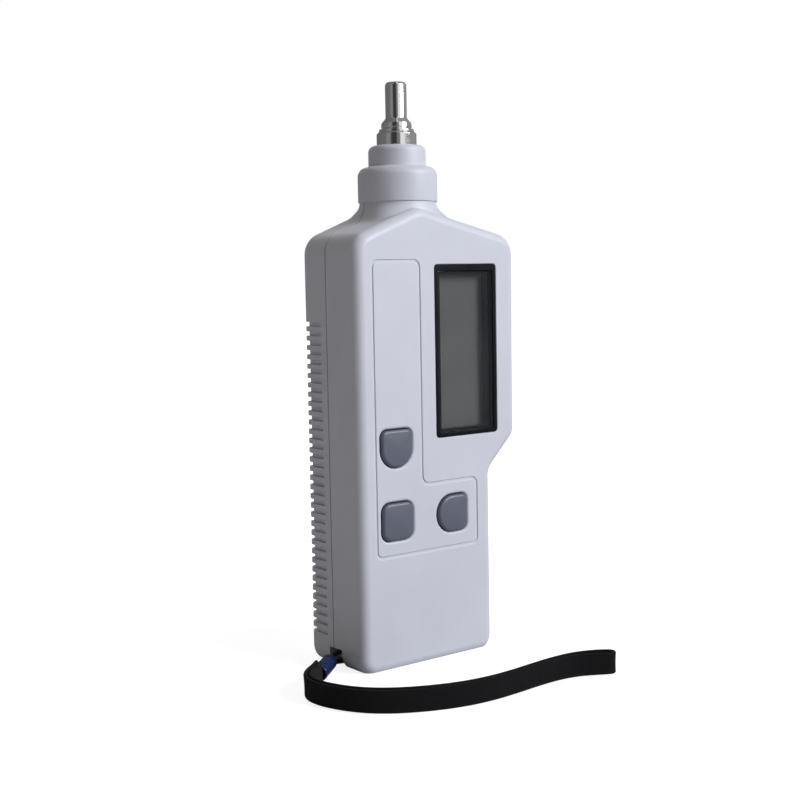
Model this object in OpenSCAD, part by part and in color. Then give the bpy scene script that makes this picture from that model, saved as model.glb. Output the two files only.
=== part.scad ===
// Handheld vibration meter: a moulded case with a contact probe on its neck,
// a display, three keys and a wrist strap. All lengths are in millimetres.
// X runs to the right as seen from the front, Y runs to the back and Z up.
// The origin is the middle of the base, on the surface that the meter stands on.

/* [Case] */
// Width of the head, across the display
case_w = 65; // [63:0.5:68]
// Width of the grip, below the step in the right side
grip_w = 53.7; // [52:0.1:56]
// Depth of the case, front to back
case_d = 30; // [29.5:0.1:31]
// Height of the case, from the base to the probe collar
case_h = 147; // [143:1:155]
// Wall thickness of the two shells
wall = 2; // [1.8:0.1:2.2]
// Radius along the front and back edges
edge_r = 3.3; // [2.6:0.1:3.8]
// Distance from the front face to the seam between the shells
front_depth = 16.3; // [15.5:0.1:17]
// Radius of the two corners at the base
base_corner_r = 4; // [3.9:0.1:5]
// Radius of the two shoulder corners
shoulder_r = 7; // [5.5:0.5:8]
// Drop from the top of the neck to the two shoulder corners
shoulder_drop = 11.6; // [10:0.1:13]
// Height of the upper end of the step in the right side
step_top_z = 70.6; // [69:0.1:72]
// Height of the lower end of the step
step_low_z = 59.3; // [58:0.1:60.5]
// Radius of the two bends of the step
step_r = 5; // [3.9:0.1:6]
// Width of the parting groove along the seam
parting_w = 0.5; // [0.3:0.1:0.8]
// Depth of the parting groove
parting_depth = 0.35; // [0.2:0.05:0.5]

/* [Neck] */
// Distance of the probe axis to the left of the case's middle
probe_offset = 4.5; // [3:0.1:6]
// Radius of the neck where it meets the collar
neck_r = 12.3; // [12:0.1:12.6]
// Half width of the neck at its foot
neck_foot_half_w = 13.6; // [13.3:0.1:14.2]
// Drop from the top of the neck to its foot
neck_drop = 5.9; // [5:0.1:6.5]
// Radius of the hollow where the neck's foot meets a shoulder
neck_fillet_r = 6; // [4:0.2:7]
// Thickness of the ledge that holds the collar
ledge_t = 2.5; // [2:0.1:3]

/* [Finger ribs] */
// Pitch of the rib grooves
rib_pitch = 3; // [2.6:0.1:3.6]
// Width of one groove
rib_groove_w = 1.5; // [1:0.1:1.8]
// Depth of one groove
rib_depth = 1; // [0.5:0.1:1.1]
// How far a groove runs forward from the back face
rib_run = 10.4; // [8:0.2:12]
// Height of the lowest groove above the base
rib_base_z = 9; // [8:0.5:14]
// Drop from the shoulder corner to the highest groove
rib_top_drop = 25.5; // [23:0.5:30]

/* [Display] */
// Width of the opening for the display bezel
window_w = 25.9; // [25:0.1:26.5]
// Height of the opening for the display bezel
window_h = 55.3; // [52:0.1:56]
// Corner radius of that opening
window_r = 1.2; // [0.6:0.1:2]
// Distance from the opening to the right side of the head
window_margin = 8.6; // [8.2:0.1:10]
// Drop from the top of the neck to the top of the opening
window_drop = 20; // [19.8:0.1:22]
// Width of the black border round the visible glass
bezel_border = 2.4; // [2:0.1:2.8]
// Depth from the front face to the display glass
glass_depth = 4.8; // [4.6:0.1:5]
// Thickness of the display glass
glass_t = 2.2; // [1.8:0.1:2.4]
// Thickness of the clear window
lens_t = 1.2; // [0.8:0.1:1.5]

/* [Panel groove] */
// Margin from the left side to the panel
panel_left = 5.7; // [5:0.1:6.5]
// Gap between the panel's upper part and the display opening
panel_gap = 5.8; // [5:0.1:7]
// Margin from the panel's lower part to the right side of the grip
panel_right = 6.5; // [5.5:0.1:7.5]
// Height of the panel's lower edge above the base
panel_base_z = 35.6; // [33:0.1:37]
// Height of the panel's step
panel_step_z = 57.8; // [56.5:0.1:60]
// Height of the panel's top above the display opening
panel_rise = 1.5; // [0:0.1:2]
// Corner radius of the panel
panel_r = 2.4; // [1:0.1:3]
// Width of the panel groove
groove_w = 0.7; // [0.4:0.1:1]
// Depth of the panel groove
groove_depth = 0.35; // [0.2:0.05:0.6]

/* [Keys] */
// Width of a key
key_w = 12; // [11:0.1:13.6]
// Height of a key
key_h = 11.8; // [11:0.1:13.8]
// Height of a key above the front face
key_rise = 0.8; // [0.4:0.1:1.2]
// Gap round a key in its opening
key_gap = 0.3; // [0.2:0.05:0.4]
// Travel of a key
key_travel = 0.6; // [0.3:0.1:0.7]
// Distance from the left side to the left key column
key_column_x = 14.3; // [13.6:0.1:15]
// Spacing of the two key columns
key_pitch_x = 22.2; // [21:0.1:23]
// Height of the lower key row above the base
key_row_z = 46.9; // [46:0.1:48]
// Spacing of the two key rows
key_pitch_z = 23; // [20:0.1:24]

/* [Board] */
// Thickness of the main board
board_t = 1.6; // [1.2:0.1:1.6]
// Margin from the case outline to the board
board_margin = 3; // [2.8:0.1:3.2]
// Height of the board's lower edge above the base
board_base_z = 34; // [33:0.1:35]
// Height of the space for the display's connector strips
strip_t = 0.8; // [0.6:0.1:1]

/* [Battery] */
// Width of the battery
battery_w = 26.5; // [26:0.1:27]
// Thickness of the battery
battery_t = 17.5; // [17:0.1:17.6]
// Height of the battery without its terminals
battery_h = 46.4; // [45:0.1:47]
// Height of the battery's terminals
terminal_h = 2.1; // [1.8:0.1:2.4]
// Height of the battery's underside above the base
battery_z = 10.2; // [9.8:0.1:11]
// Distance from the left side to the battery's middle
battery_x = 26.8; // [26.2:0.1:27.4]
// Thickness of the battery door
door_t = 1.6; // [1.4:0.1:1.8]
// Gap round the battery door
door_gap = 0.25; // [0.2:0.05:0.4]

/* [Probe] */
// Radius of the large collar
collar_r = 12.75; // [12.6:0.05:13.5]
// Height of the large collar
collar_h = 11.2; // [10.6:0.1:12]
// Rounding of the large collar's shoulder
collar_round = 2.9; // [1.5:0.1:3.2]
// Radius of the small collar
nose_r = 9.2; // [8.8:0.1:9.8]
// Height of the small collar
nose_h = 6.8; // [6:0.1:8]
// Rounding of the small collar's shoulder
nose_round = 2; // [1:0.1:2.2]
// Radius of the sensor's bright end
sensor_r = 6.4; // [6:0.1:6.8]
// Height of the sensor's bright end above the collar
sensor_rise = 4.2; // [3.5:0.1:5]
// Radius of the sensor's body inside the collar
sensor_body_r = 8.5; // [8.3:0.1:8.7]
// Length of the sensor's body
sensor_body_l = 23; // [22:0.5:26]
// Radius of the probe tip
tip_r = 3.43; // [3:0.01:3.8]
// Height of the probe tip above the sensor
tip_h = 15.8; // [14:0.1:20]
// Radius of the tip's flared foot
tip_foot_r = 5.6; // [5:0.1:6]

/* [Screws] */
// Radius of a case screw's thread
case_screw_r = 1.4; // [1.2:0.05:1.5]
// Radius of a case screw's head
case_head_r = 2.5; // [2.2:0.1:2.6]
// Radius of the bosses for the case screws
boss_r = 3; // [2.9:0.1:3.1]
// Radius of a board screw's thread
board_screw_r = 0.8; // [0.7:0.05:0.9]
// Radius of the posts that carry the board
post_r = 1.8; // [1.7:0.05:1.9]

/* [Strap] */
// Width of the lanyard slot, front to back
slot_w = 6.8; // [6:0.1:7.4]
// Height of the lanyard slot
slot_h = 5.7; // [5.6:0.1:6.2]
// Depth of the lanyard slot
slot_depth = 6.5; // [6.2:0.1:7]
// Radius of the lanyard pin
pin_r = 0.8; // [0.7:0.05:0.85]
// Radius of the strap's cord
cord_r = 0.8; // [0.6:0.05:0.85]
// Width of the webbing
strap_w = 6.8; // [6:0.2:8]
// Thickness of one ply of the webbing
strap_t = 1.1; // [0.9:0.1:1.2]

/* [Hidden] */
$fn = 48;
arc_steps = 6;
round_steps = 5;
tube_sides = 8;

shell_colour = [0.79, 0.80, 0.85];
black_colour = [0.05, 0.05, 0.06];
key_colour = [0.35, 0.37, 0.42];
steel_colour = [0.80, 0.80, 0.78];
board_colour = [0.10, 0.35, 0.20];
copper_colour = [0.72, 0.45, 0.20];

cut = 1;          // overrun of a cut past a face
seat_gap = 0.2;   // clearance of a piece in its seat
fit_gap = 0.05;   // radial clearance of a shaft in its hole

// Planes and sides of the case
front_y = -case_d / 2;
back_y = case_d / 2;
seam_y = front_y + front_depth;
left_x = -case_w / 2;
right_x = case_w / 2;
grip_x = left_x + grip_w;
axis_x = -probe_offset;
shoulder_z = case_h - shoulder_drop;
foot_z = case_h - neck_drop;
head_mid_z = (step_top_z + shoulder_z) / 2;
inner_front_y = front_y + wall;
inner_back_y = back_y - wall;
ledge_z = case_h - ledge_t;
base_sink = 1.2;
neck_foot_inset = 0.5;
neck_foot_half_d = case_d / 2 - neck_foot_inset;
neck_round_share = 0.33;
neck_foot_power = 2 / neck_round_share;
neck_rings = 6;
neck_root_l = 4;
left_slope = (foot_z - shoulder_z) / (axis_x - neck_foot_half_w - left_x);
neck_flare_power = 1.7;
neck_corner_power = 2.6;
fillet_start = 32;
fillet_end = 90 - atan(left_slope);
fillet_steps = 5;
fillet_rise = neck_fillet_r * tan((fillet_end - fillet_start) / 2)
    * (cos(fillet_start) - sin(fillet_start) * left_slope);
right_slope = (foot_z - shoulder_z) / (right_x - axis_x - neck_foot_half_w);
roof_x = axis_x + neck_foot_half_w * (right_slope - left_slope) / (right_slope + left_slope);
roof_z = foot_z + 2 * neck_foot_half_w * left_slope * right_slope / (left_slope + right_slope);
roof_r = 8;
neck_hollow_r = 11.4;
neck_hollow_drop = 10;
cavity_drop = 7;

// Display and its holder, from the front face back
window_x1 = right_x - window_margin;
window_x0 = window_x1 - window_w;
window_z1 = case_h - window_drop;
window_z0 = window_z1 - window_h;
window_mid = [(window_x0 + window_x1) / 2, (window_z0 + window_z1) / 2];
bezel_sink = 0.15;
bezel_flange = 1.2;
bezel_flange_t = 1.2;
lens_sink = 0.4;
lens_rebate = 1;
top_border_extra = 0.8;
glass_overlap = 1.2;
holder_t = 1.5;
glass_x0 = window_x0 + bezel_border - glass_overlap;
glass_x1 = window_x1 - bezel_border + glass_overlap;
glass_z0 = window_z0 + bezel_border - glass_overlap;
glass_z1 = window_z1 - bezel_border;
glass_y = front_y + glass_depth;
board_y = glass_y + glass_t + strip_t;
board_back_y = board_y + board_t;
board_top_z = window_z1 - wall / 2;
strip_w = 1.6;
strip_inset = 0.6;

// Keys and switches
key_left_x = left_x + key_column_x;
key_right_x = key_left_x + key_pitch_x;
key_top_z = key_row_z + key_pitch_z;
measure_place = [key_left_x, key_top_z];
mode_place = [key_left_x, key_row_z];
range_place = [key_right_x, key_row_z];
key_corner_r = 2.2;
key_square_r = 2.8;
key_round_margin = 0.2;
key_round_r = key_w / 2 - key_round_margin;
key_flange = 1;
key_flange_t = 0.8;
key_dome_shares = [[0, 0], [0.5, 0.12], [0.85, 0.45], [1, 1]];
key_dome_inset = 1;
key_back_y = inner_front_y + seat_gap + key_flange_t;
switch_w = 6.2;
switch_t = 3.5;
switch_y = board_y - switch_t;
plunger_r = 1.7;
plunger_l = 2.5;
switch_bore_depth = plunger_l + key_travel + seat_gap - (switch_y - key_back_y);

// Battery bay and door
bay_x = left_x + battery_x;
bay_wall = 1.2;
bay_front_t = 0.9;
bay_gap = 0.3;
battery_edge_r = 1.5;
terminal_r = 2.9;
terminal_pitch = 12.7;
snap_t = 4;
snap_w = 25;
snap_d = 11;
battery_back_y = back_y - door_t - bay_gap / 2;
battery_front_y = battery_back_y - battery_t;
bay_front_y = battery_front_y - bay_gap / 2 - bay_front_t;
bay_x0 = bay_x - battery_w / 2 - bay_gap - bay_wall;
bay_x1 = bay_x + battery_w / 2 + bay_gap + bay_wall;
pad_t = 1;
bay_floor_z = battery_z - pad_t;
snap_z = battery_z + battery_h + seat_gap;
bay_top_z = snap_z + snap_t + bay_gap;
door_z0 = bay_floor_z - 3 * bay_wall;
door_z1 = bay_top_z + bay_wall / 2;
door_half_w = (bay_x1 - bay_x0) / 2 - bay_wall / 4;
door_tab_w = 6;
door_tab_t = 1.2;
door_tab_l = 2.4;
door_tab_x = 8;
door_swing_r = 3.9;
door_hinge_y = back_y - door_gap / 2;
latch_w = 9;
latch_l = 7;
latch_slot_w = 0.8;
thumb_r = 9;
thumb_depth = 0.7;
lead_hole = [bay_x, snap_z + snap_t / 2];
wire_r = 0.6;
lead_pitch = 1.8;
lead_hole_r = lead_pitch / 2 + wire_r + seat_gap;

// Screws
upper_boss_inset = 6.2;
upper_boss_drop = 16;
lower_boss_inset = 6.2;
lower_boss_z = 15;
case_head_t = 2;
case_screw_l = 13;
case_head_depth = 6;
screw_head_y = back_y - case_head_depth;
recess_share = 0.7;
screw_tip_gap = 1.5;
rear_boss_wall = 0.8;
rear_boss_r = case_head_r + seat_gap + rear_boss_wall;
board_screw_l = 5;
board_head_r = 1.6;
board_head_t = 1;
post_inset_x = 5;
post_inset_z = 2.5;
post_top_drop = 25;

case_screw_places = [
    [left_x + upper_boss_inset, case_h - upper_boss_drop],
    [right_x - upper_boss_inset, case_h - upper_boss_drop],
    [left_x + lower_boss_inset, lower_boss_z],
    [grip_x - lower_boss_inset, lower_boss_z]
];
board_screw_places = [
    [left_x + post_inset_x, case_h - post_top_drop],
    [right_x - post_inset_x, case_h - post_top_drop],
    [left_x + post_inset_x, board_base_z + post_inset_z],
    [grip_x - post_inset_x, board_base_z + post_inset_z]
];

// Sensor and probe, from the collar up and down
collar_top_z = case_h + collar_h;
nose_top_z = collar_top_z + nose_h;
sensor_top_z = nose_top_z + sensor_rise;
spigot_r = 9.9;
spigot_gap = 0.1;
spigot_l = 7;
flange_r = 11.2;
flange_t = 2;
sensor_gap = 0.1;
seal_r = 0.6;
sensor_ledge_z = collar_top_z + seal_r / 2;
sensor_shoulder_z = sensor_ledge_z - 2 * seal_r - seat_gap / 2;
sensor_base_z = sensor_shoulder_z - sensor_body_l;
sensor_wall = 1.2;
sensor_floor_t = 3;
stack_z = sensor_shoulder_z - sensor_floor_t;
sensor_chamfer = 0.5;
stud_r = 2;
stud_l = 7;
post_stem_r = 1.5;
post_stem_l = 14;
piezo_r = 5.5;
piezo_t = 1.5;
mass_r = 6.4;
mass_h = 7;
nut_r = 3.2;
nut_h = 2.5;
lid_t = 2;
lead_r = 1;
lead_bend = 6;
lead_points = 9;
tip_cap_r = 2.2;
tip_cap_h = 1.7;
tip_chamfer = 0.9;
tip_foot_h = 1;
tip_flare_r = 4.96;
tip_flare_h = 4.8;
neck_groove_h = 0.4;

// Board pieces, as sizes along X, Y and Z
processor_size = [12, 1.4, 12];
amplifier_size = [5, 1.5, 4];
amplifier_pitch = 9;
socket_place = [axis_x, board_top_z - amplifier_pitch];
crystal_size = [11, 3.4, 4.6];
trimmer_size = [6.6, 4.8, 6.6];
trimmer_screw_r = 1.3;
socket_size = [6, 5.5, 4];
resistor_size = [1.6, 0.6, 0.9];
resistor_pitch = 3.2;
resistor_count = 8;
resistor_rows = 2;
capacitor_r = 2.5;
capacitor_h = 7;
capacitor_pitch = 7.5;
capacitor_count = 3;
board_piece_margin = 6;

// Lanyard pin, cord, sleeve and strap
slot_back_offset = 1.1;
slot_y = seam_y - slot_back_offset;
slot_wall = 1.4;
pin_x = left_x + slot_depth / 2;
sleeve_r = 2.5;
sleeve_gap = 0.1;
sleeve_rest = 0.25;
cord_z = sleeve_r + sleeve_rest;
pin_z = cord_z;
cord_turn_gap = 0.15;
cord_turn_r = pin_r + cord_r + cord_turn_gap;
// Middle line of the cord's two strands, from the pin to the sleeve's far end
cord_route = [[-32, 0.2], [-34.5, -0.6], [-36.8, -2.3], [-40, -5.1], [-43.2, -8], [-46.5, -10.9]];
// Half the spread of the two strands at each of those points
cord_spread = [1.5, 1.1, 0.85, 0.85, 0.85, 0.85];
sleeve_start = 2;
// Middle line of the flattened strap loop on the floor, from the sleeve outwards
strap_route = [
    [-46.8, -11.2], [-50.4, -14.3], [-54.2, -17.2], [-57.1, -20.8], [-58.5, -25], [-58.4, -29.6],
    [-57.2, -34], [-55, -38.8], [-51.5, -43.6], [-46.5, -47.9], [-40, -51.6], [-32.5, -54.6],
    [-24.5, -56.6], [-16, -57.4], [-7.5, -57.2], [1, -56.6], [9.5, -56.4], [17, -57.4],
    [22.8, -59.8], [27, -62.4]
];
strap_part_shares = [0.1, 0.1, 0.1, 0.2, 0.3, 0.3, 0.3, 0.3, 0.3, 0.3, 0.3, 0.3, 0.3, 0.3, 0.3, 0.4,
    0.6, 1, 1.3, 1];
strap_end_share = 0.6;

// Unit vector along v
function unit(v) = v / norm(v);

// Arc of radius r that rounds the corner b between its neighbours a and c
function corner_arc(a, b, c, r) =
    r == 0 ? [b] :
    let (
        u = unit(a - b),
        v = unit(c - b),
        half = acos(u * v) / 2,
        centre = b + unit(u + v) * r / sin(half),
        p0 = b + u * r / tan(half) - centre,
        p1 = b + v * r / tan(half) - centre,
        a0 = atan2(p0.y, p0.x),
        turn = atan2(p1.y, p1.x) - a0,
        sweep = turn > 180 ? turn - 360 : turn < -180 ? turn + 360 : turn
    )
    [for (i = [0 : arc_steps])
        let (a = a0 + sweep * i / arc_steps)
        centre + r * [cos(a), sin(a)]];

// Outline whose corners, given as [x, z, radius], are rounded by arcs
function rounded(corners) =
    let (n = len(corners), p = [for (c = corners) [c.x, c.y]])
    [for (i = [0 : n - 1]) each corner_arc(p[(i + n - 1) % n], p[i], p[(i + 1) % n], corners[i][2])];

// The anticlockwise outline moved inwards by d, or outwards where d is negative
function inset(outline, d) =
    let (n = len(outline))
    [for (i = [0 : n - 1])
        let (
            before = unit(outline[i] - outline[(i + n - 1) % n]),
            after = unit(outline[(i + 1) % n] - outline[i]),
            n0 = [-before.y, before.x],
            n1 = [-after.y, after.x]
        )
        outline[i] + d * (n0 + n1) / (1 + n0 * n1)];

// Middle of a ring of points
function mean(ring, i = 0) = i == len(ring) ? [0, 0, 0] : ring[i] / len(ring) + mean(ring, i + 1);

// Closed solid through rings of equal count, each end a fan round its own middle point
module skin(rings, first_middle, last_middle) {
    n = len(rings[0]);
    last = (len(rings) - 1) * n;
    count = len(rings) * n;
    polyhedron(
        points = concat([for (ring = rings) each ring], [
            is_undef(first_middle) ? mean(rings[0]) : first_middle,
            is_undef(last_middle) ? mean(rings[len(rings) - 1]) : last_middle
        ]),
        faces = [
            for (i = [0 : n - 1]) each let (j = (i + 1) % n)
                [[count, j, i], [count + 1, last + i, last + j]],
            for (k = [0 : len(rings) - 2]) for (i = [0 : n - 1])
                each let (j = (i + 1) % n, a = k * n, b = a + n)
                    [[a + i, b + j, b + i], [a + i, a + j, b + j]]
        ]
    );
}

// An outline in X and Z placed at depth y
function at_depth(outline, y) = [for (p = outline) [p.x, y, p.y]];

// Solid of the outline from depth y0 back to y1, with both rims rounded by r
module pillow(outline, y0, y1, r) {
    turns = [for (i = [0 : round_steps]) 90 * i / round_steps];
    skin(
        concat(
            [for (t = turns) at_depth(inset(outline, r * (1 - sin(t))), y0 + r * (1 - cos(t)))],
            [for (t = turns) at_depth(inset(outline, r * (1 - cos(t))), y1 - r * (1 - sin(t)))]
        ),
        [axis_x, y0, head_mid_z],
        [axis_x, y1, head_mid_z]
    );
}

// Straight plate of the outline from depth y0 back to y1
module plate(outline, y0, y1) {
    translate([0, y1, 0]) rotate([90, 0, 0]) linear_extrude(y1 - y0) polygon(outline);
}

// Box between two corners
module block(low, high) {
    translate(low) cube(high - low);
}

// Round rod along Y at x, z
module rod(place, r, y0, y1) {
    translate([place.x, y1, place.y]) rotate([90, 0, 0]) cylinder(h = y1 - y0, r = r);
}

// Rectangle with rounded corners, anticlockwise
function frame_outline(x0, z0, x1, z1, r) =
    rounded([[x0, z0, r], [x1, z0, r], [x1, z1, r], [x0, z1, r]]);

// Outline of the case in the front view, anticlockwise, whose shoulders meet as a low roof.
// It is sunk below the base where the base cuts its rounding flat.
function case_outline(sink = 0) = rounded([
    [left_x, -sink, base_corner_r + sink],
    [grip_x, -sink, base_corner_r + sink],
    [grip_x, step_low_z, step_r],
    [right_x, step_top_z, step_r],
    [right_x, shoulder_z, shoulder_r],
    [roof_x, roof_z, roof_r],
    [left_x, shoulder_z, shoulder_r]
]);

// Level ring at height z between an ellipse, power 2, and a rectangle, of half sizes w and d
function neck_ring(w, d, power, z) =
    [for (i = [0 : $fn - 1])
        let (
            u = [cos(360 * i / $fn), sin(360 * i / $fn)],
            reach = pow(pow(abs(u.x) / w, power) + pow(abs(u.y) / d, power), -1 / power)
        )
        [axis_x + u.x * reach, u.y * reach, z]];

function taper_half_w(s) = neck_r + (neck_foot_half_w - neck_r) * pow(s, neck_flare_power);
function taper_z(s) = case_h - (neck_drop - fillet_rise) * s;
function fillet_half_w(a) = neck_foot_half_w + neck_fillet_r * (cos(fillet_start) - cos(a));
function fillet_z(a) = foot_z + fillet_rise - neck_fillet_r * (sin(a) - sin(fillet_start));
function fillet_turn(i) = fillet_start + (fillet_end - fillet_start) * i / fillet_steps;

// Half width and height of the neck's side line, from the collar down, with the fillet to the shoulders
neck_line = concat(
    [for (i = [0 : neck_rings]) [taper_half_w(i / neck_rings), taper_z(i / neck_rings)]],
    [for (i = [1 : fillet_steps]) [fillet_half_w(fillet_turn(i)), fillet_z(fillet_turn(i))]]
);

// Ring of the neck at a point of its side line: it turns from the collar's round to the case's corners
function line_ring(p) =
    let (share = (case_h - p.y) / (case_h - fillet_z(fillet_end)))
    neck_ring(
        p.x,
        neck_r + (neck_foot_half_d - neck_r) * pow(share, neck_flare_power),
        2 + (neck_foot_power - 2) * pow(share, neck_corner_power),
        p.y
    );

// The neck, from the collar down into the case
module neck() {
    skin(concat(
        [for (p = neck_line) line_ring(p)],
        [neck_ring(neck_foot_half_w, neck_r, neck_foot_power, foot_z - neck_root_l)]
    ));
}

// Outer form of the whole case
module case_form() {
    intersection() {
        pillow(case_outline(base_sink), front_y, back_y, edge_r);
        block([left_x - cut, front_y - cut, 0], [right_x + cut, back_y + cut, case_h + cut]);
    }
    neck();
}

// Hollow of the whole case
module case_hollow() {
    intersection() {
        pillow(inset(case_outline(), wall), inner_front_y, inner_back_y, edge_r - wall);
        block([left_x, front_y, -cut], [right_x, back_y, case_h - cavity_drop]);
    }
    translate([axis_x, 0, case_h - neck_hollow_drop])
        cylinder(h = neck_hollow_drop - ledge_t, r = neck_hollow_r);
}

// Side lines of the neck in the front view, anticlockwise, run on past both its ends
function neck_side() = concat(
    [[axis_x - neck_foot_half_w, foot_z - neck_root_l], [axis_x + neck_foot_half_w, foot_z - neck_root_l]],
    [for (i = [len(neck_line) - 1 : -1 : 0]) [axis_x + neck_line[i].x, neck_line[i].y]],
    [[axis_x + neck_r, case_h + 2 * cut], [axis_x - neck_r, case_h + 2 * cut]],
    [for (p = neck_line) [axis_x - p.x, p.y]]
);

// Cut round the case that leaves the parting groove, from depth y0 to y1
module parting_cut(y0, y1) {
    difference() {
        block([left_x - cut, y0, -cut], [right_x + cut, y1, case_h + cut]);
        plate(inset(case_outline(base_sink), parting_depth), y0 - cut, y1 + cut);
        plate(inset(neck_side(), parting_depth), y0 - cut, y1 + cut);
    }
}

module front_half() {
    intersection() {
        children();
        block([left_x - cut, front_y - cut, -cut], [right_x + cut, seam_y, case_h + cut]);
    }
}

module rear_half() {
    intersection() {
        children();
        block([left_x - cut, seam_y, -cut], [right_x + cut, back_y + cut, case_h + cut]);
    }
}

// Walls round the lanyard slot
module slot_walls() {
    block(
        [left_x - cut, slot_y - slot_w / 2 - slot_wall, -cut],
        [left_x + slot_depth + slot_wall, slot_y + slot_w / 2 + slot_wall, slot_h + slot_wall]
    );
}

// The lanyard slot, open at the side and at the base
module slot_cut() {
    block(
        [left_x - cut, slot_y - slot_w / 2, -cut],
        [left_x + slot_depth, slot_y + slot_w / 2, slot_h]
    );
}

// Outlines of the three keys round their middles, grown by g
function measure_outline(g) = key_outline(g, key_corner_r, key_round_r, key_round_r, key_corner_r);
function mode_outline(g) = key_outline(g, key_square_r, key_square_r, key_square_r, key_square_r);
function range_outline(g) = key_outline(g, key_round_r, key_round_r, key_corner_r, key_corner_r);

// Key outline with a radius at its top left, lower left, lower right and top right
function key_outline(g, tl, bl, br, tr) =
    let (w = key_w / 2, h = key_h / 2)
    inset(rounded([[-w, -h, bl], [w, -h, br], [w, h, tr], [-w, h, tl]]), -g);

function moved(outline, place) = [for (p = outline) p + place];

// Key cap with a domed rim, a straight body and a flange behind the front wall
module key_cap(outline, flange) {
    skin(concat(
        [for (s = [len(key_dome_shares) - 1 : -1 : 0])
            at_depth(inset(outline, key_dome_inset * key_dome_shares[s][1]),
                front_y - key_rise * key_dome_shares[s][0])],
        [at_depth(outline, inner_front_y + seat_gap + key_flange_t / 2)]
    ));
    plate(flange, inner_front_y + seat_gap, key_back_y);
}

module plunger(place) {
    rod(place, plunger_r, key_back_y, key_back_y + plunger_l);
}

module key_switch(place) {
    difference() {
        block(
            [place.x - switch_w / 2, switch_y, place.y - switch_w / 2],
            [place.x + switch_w / 2, board_y, place.y + switch_w / 2]
        );
        rod(place, plunger_r + fit_gap, switch_y - cut, switch_y + switch_bore_depth);
    }
}

// Panel outline: a tall part beside the display and a foot below it
function panel_outline() = rounded([
    [left_x + panel_left, panel_base_z, panel_r],
    [grip_x - panel_right, panel_base_z, panel_r],
    [grip_x - panel_right, panel_step_z, panel_r],
    [window_x0 - panel_gap, panel_step_z, panel_r],
    [window_x0 - panel_gap, window_z1 + panel_rise, panel_r],
    [left_x + panel_left, window_z1 + panel_rise, panel_r]
]);

module front_cover() color(shell_colour) {
    difference() {
        front_half() case_form();
        difference() {
            case_hollow();
            for (p = case_screw_places) rod(p, boss_r, front_y, back_y);
            for (p = board_screw_places) rod(p, post_r, front_y, board_y);
            slot_walls();
        }
        translate([axis_x, 0, ledge_z - cut]) cylinder(h = ledge_t + 2 * cut, r = spigot_r + spigot_gap);
        plate(
            frame_outline(window_x0, window_z0, window_x1, window_z1, window_r),
            front_y - cut, inner_front_y + cut
        );
        plate(moved(measure_outline(key_gap), measure_place), front_y - cut, inner_front_y + cut);
        plate(moved(mode_outline(key_gap), mode_place), front_y - cut, inner_front_y + cut);
        plate(moved(range_outline(key_gap), range_place), front_y - cut, inner_front_y + cut);
        difference() {
            plate(panel_outline(), front_y - cut, front_y + groove_depth);
            plate(inset(panel_outline(), groove_w), front_y - 2 * cut, front_y + 2 * groove_depth);
        }
        for (p = case_screw_places)
            rod(p, case_screw_r + fit_gap, screw_head_y - case_screw_l - screw_tip_gap, seam_y + cut);
        for (p = board_screw_places)
            rod(p, board_screw_r + fit_gap, board_back_y - board_screw_l - screw_tip_gap, board_y + cut);
        slot_cut();
        rod([pin_x, pin_z], pin_r + fit_gap, slot_y - slot_w / 2 - slot_wall - cut, slot_y);
        parting_cut(seam_y - parting_w / 2, seam_y + cut);
    }
}

// One straight groove of the finger ribs, wrapped round a back corner at x, on side s
module rib_groove(x, s, z) {
    corner = [x - s * edge_r, back_y - edge_r];
    floor_r = edge_r - rib_depth;
    outer = [
        [x + s * cut, back_y - rib_run],
        [x + s * cut, back_y + cut],
        [corner.x, back_y + cut]
    ];
    arc = [for (i = [0 : arc_steps])
        let (a = 90 * i / arc_steps)
        corner + floor_r * [s * sin(a), cos(a)]];
    translate([0, 0, z]) linear_extrude(rib_groove_w)
        polygon(concat(outer, arc, [[x - s * rib_depth, back_y - rib_run]]));
}

module rib_grooves() {
    top = shoulder_z - rib_top_drop;
    for (z = [rib_base_z : rib_pitch : top]) rib_groove(left_x, -1, z);
    for (z = [rib_base_z : rib_pitch : step_low_z - step_r]) rib_groove(grip_x, 1, z);
    for (z = [step_top_z + step_r : rib_pitch : top]) rib_groove(right_x, 1, z);
}

// Walls of the battery bay, open towards the door
module bay_walls() {
    difference() {
        block(
            [bay_x0, bay_front_y, bay_floor_z - bay_wall],
            [bay_x1, inner_back_y + wall / 2, bay_top_z + bay_wall]
        );
        block(
            [bay_x0 + bay_wall, bay_front_y + bay_front_t, bay_floor_z],
            [bay_x1 - bay_wall, back_y + cut, bay_top_z]
        );
        block(
            [bay_x0 + bay_wall, door_hinge_y - door_swing_r, bay_floor_z - bay_wall - cut],
            [bay_x1 - bay_wall, back_y + cut, bay_floor_z + cut]
        );
        block(
            [bay_x0 - cut, back_y - door_t - door_gap, door_z0 - door_gap],
            [bay_x1 + cut, back_y + cut, door_z1 + door_gap]
        );
        rod(lead_hole, lead_hole_r, bay_front_y - cut, bay_front_y + bay_front_t + cut);
    }
}

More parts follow.
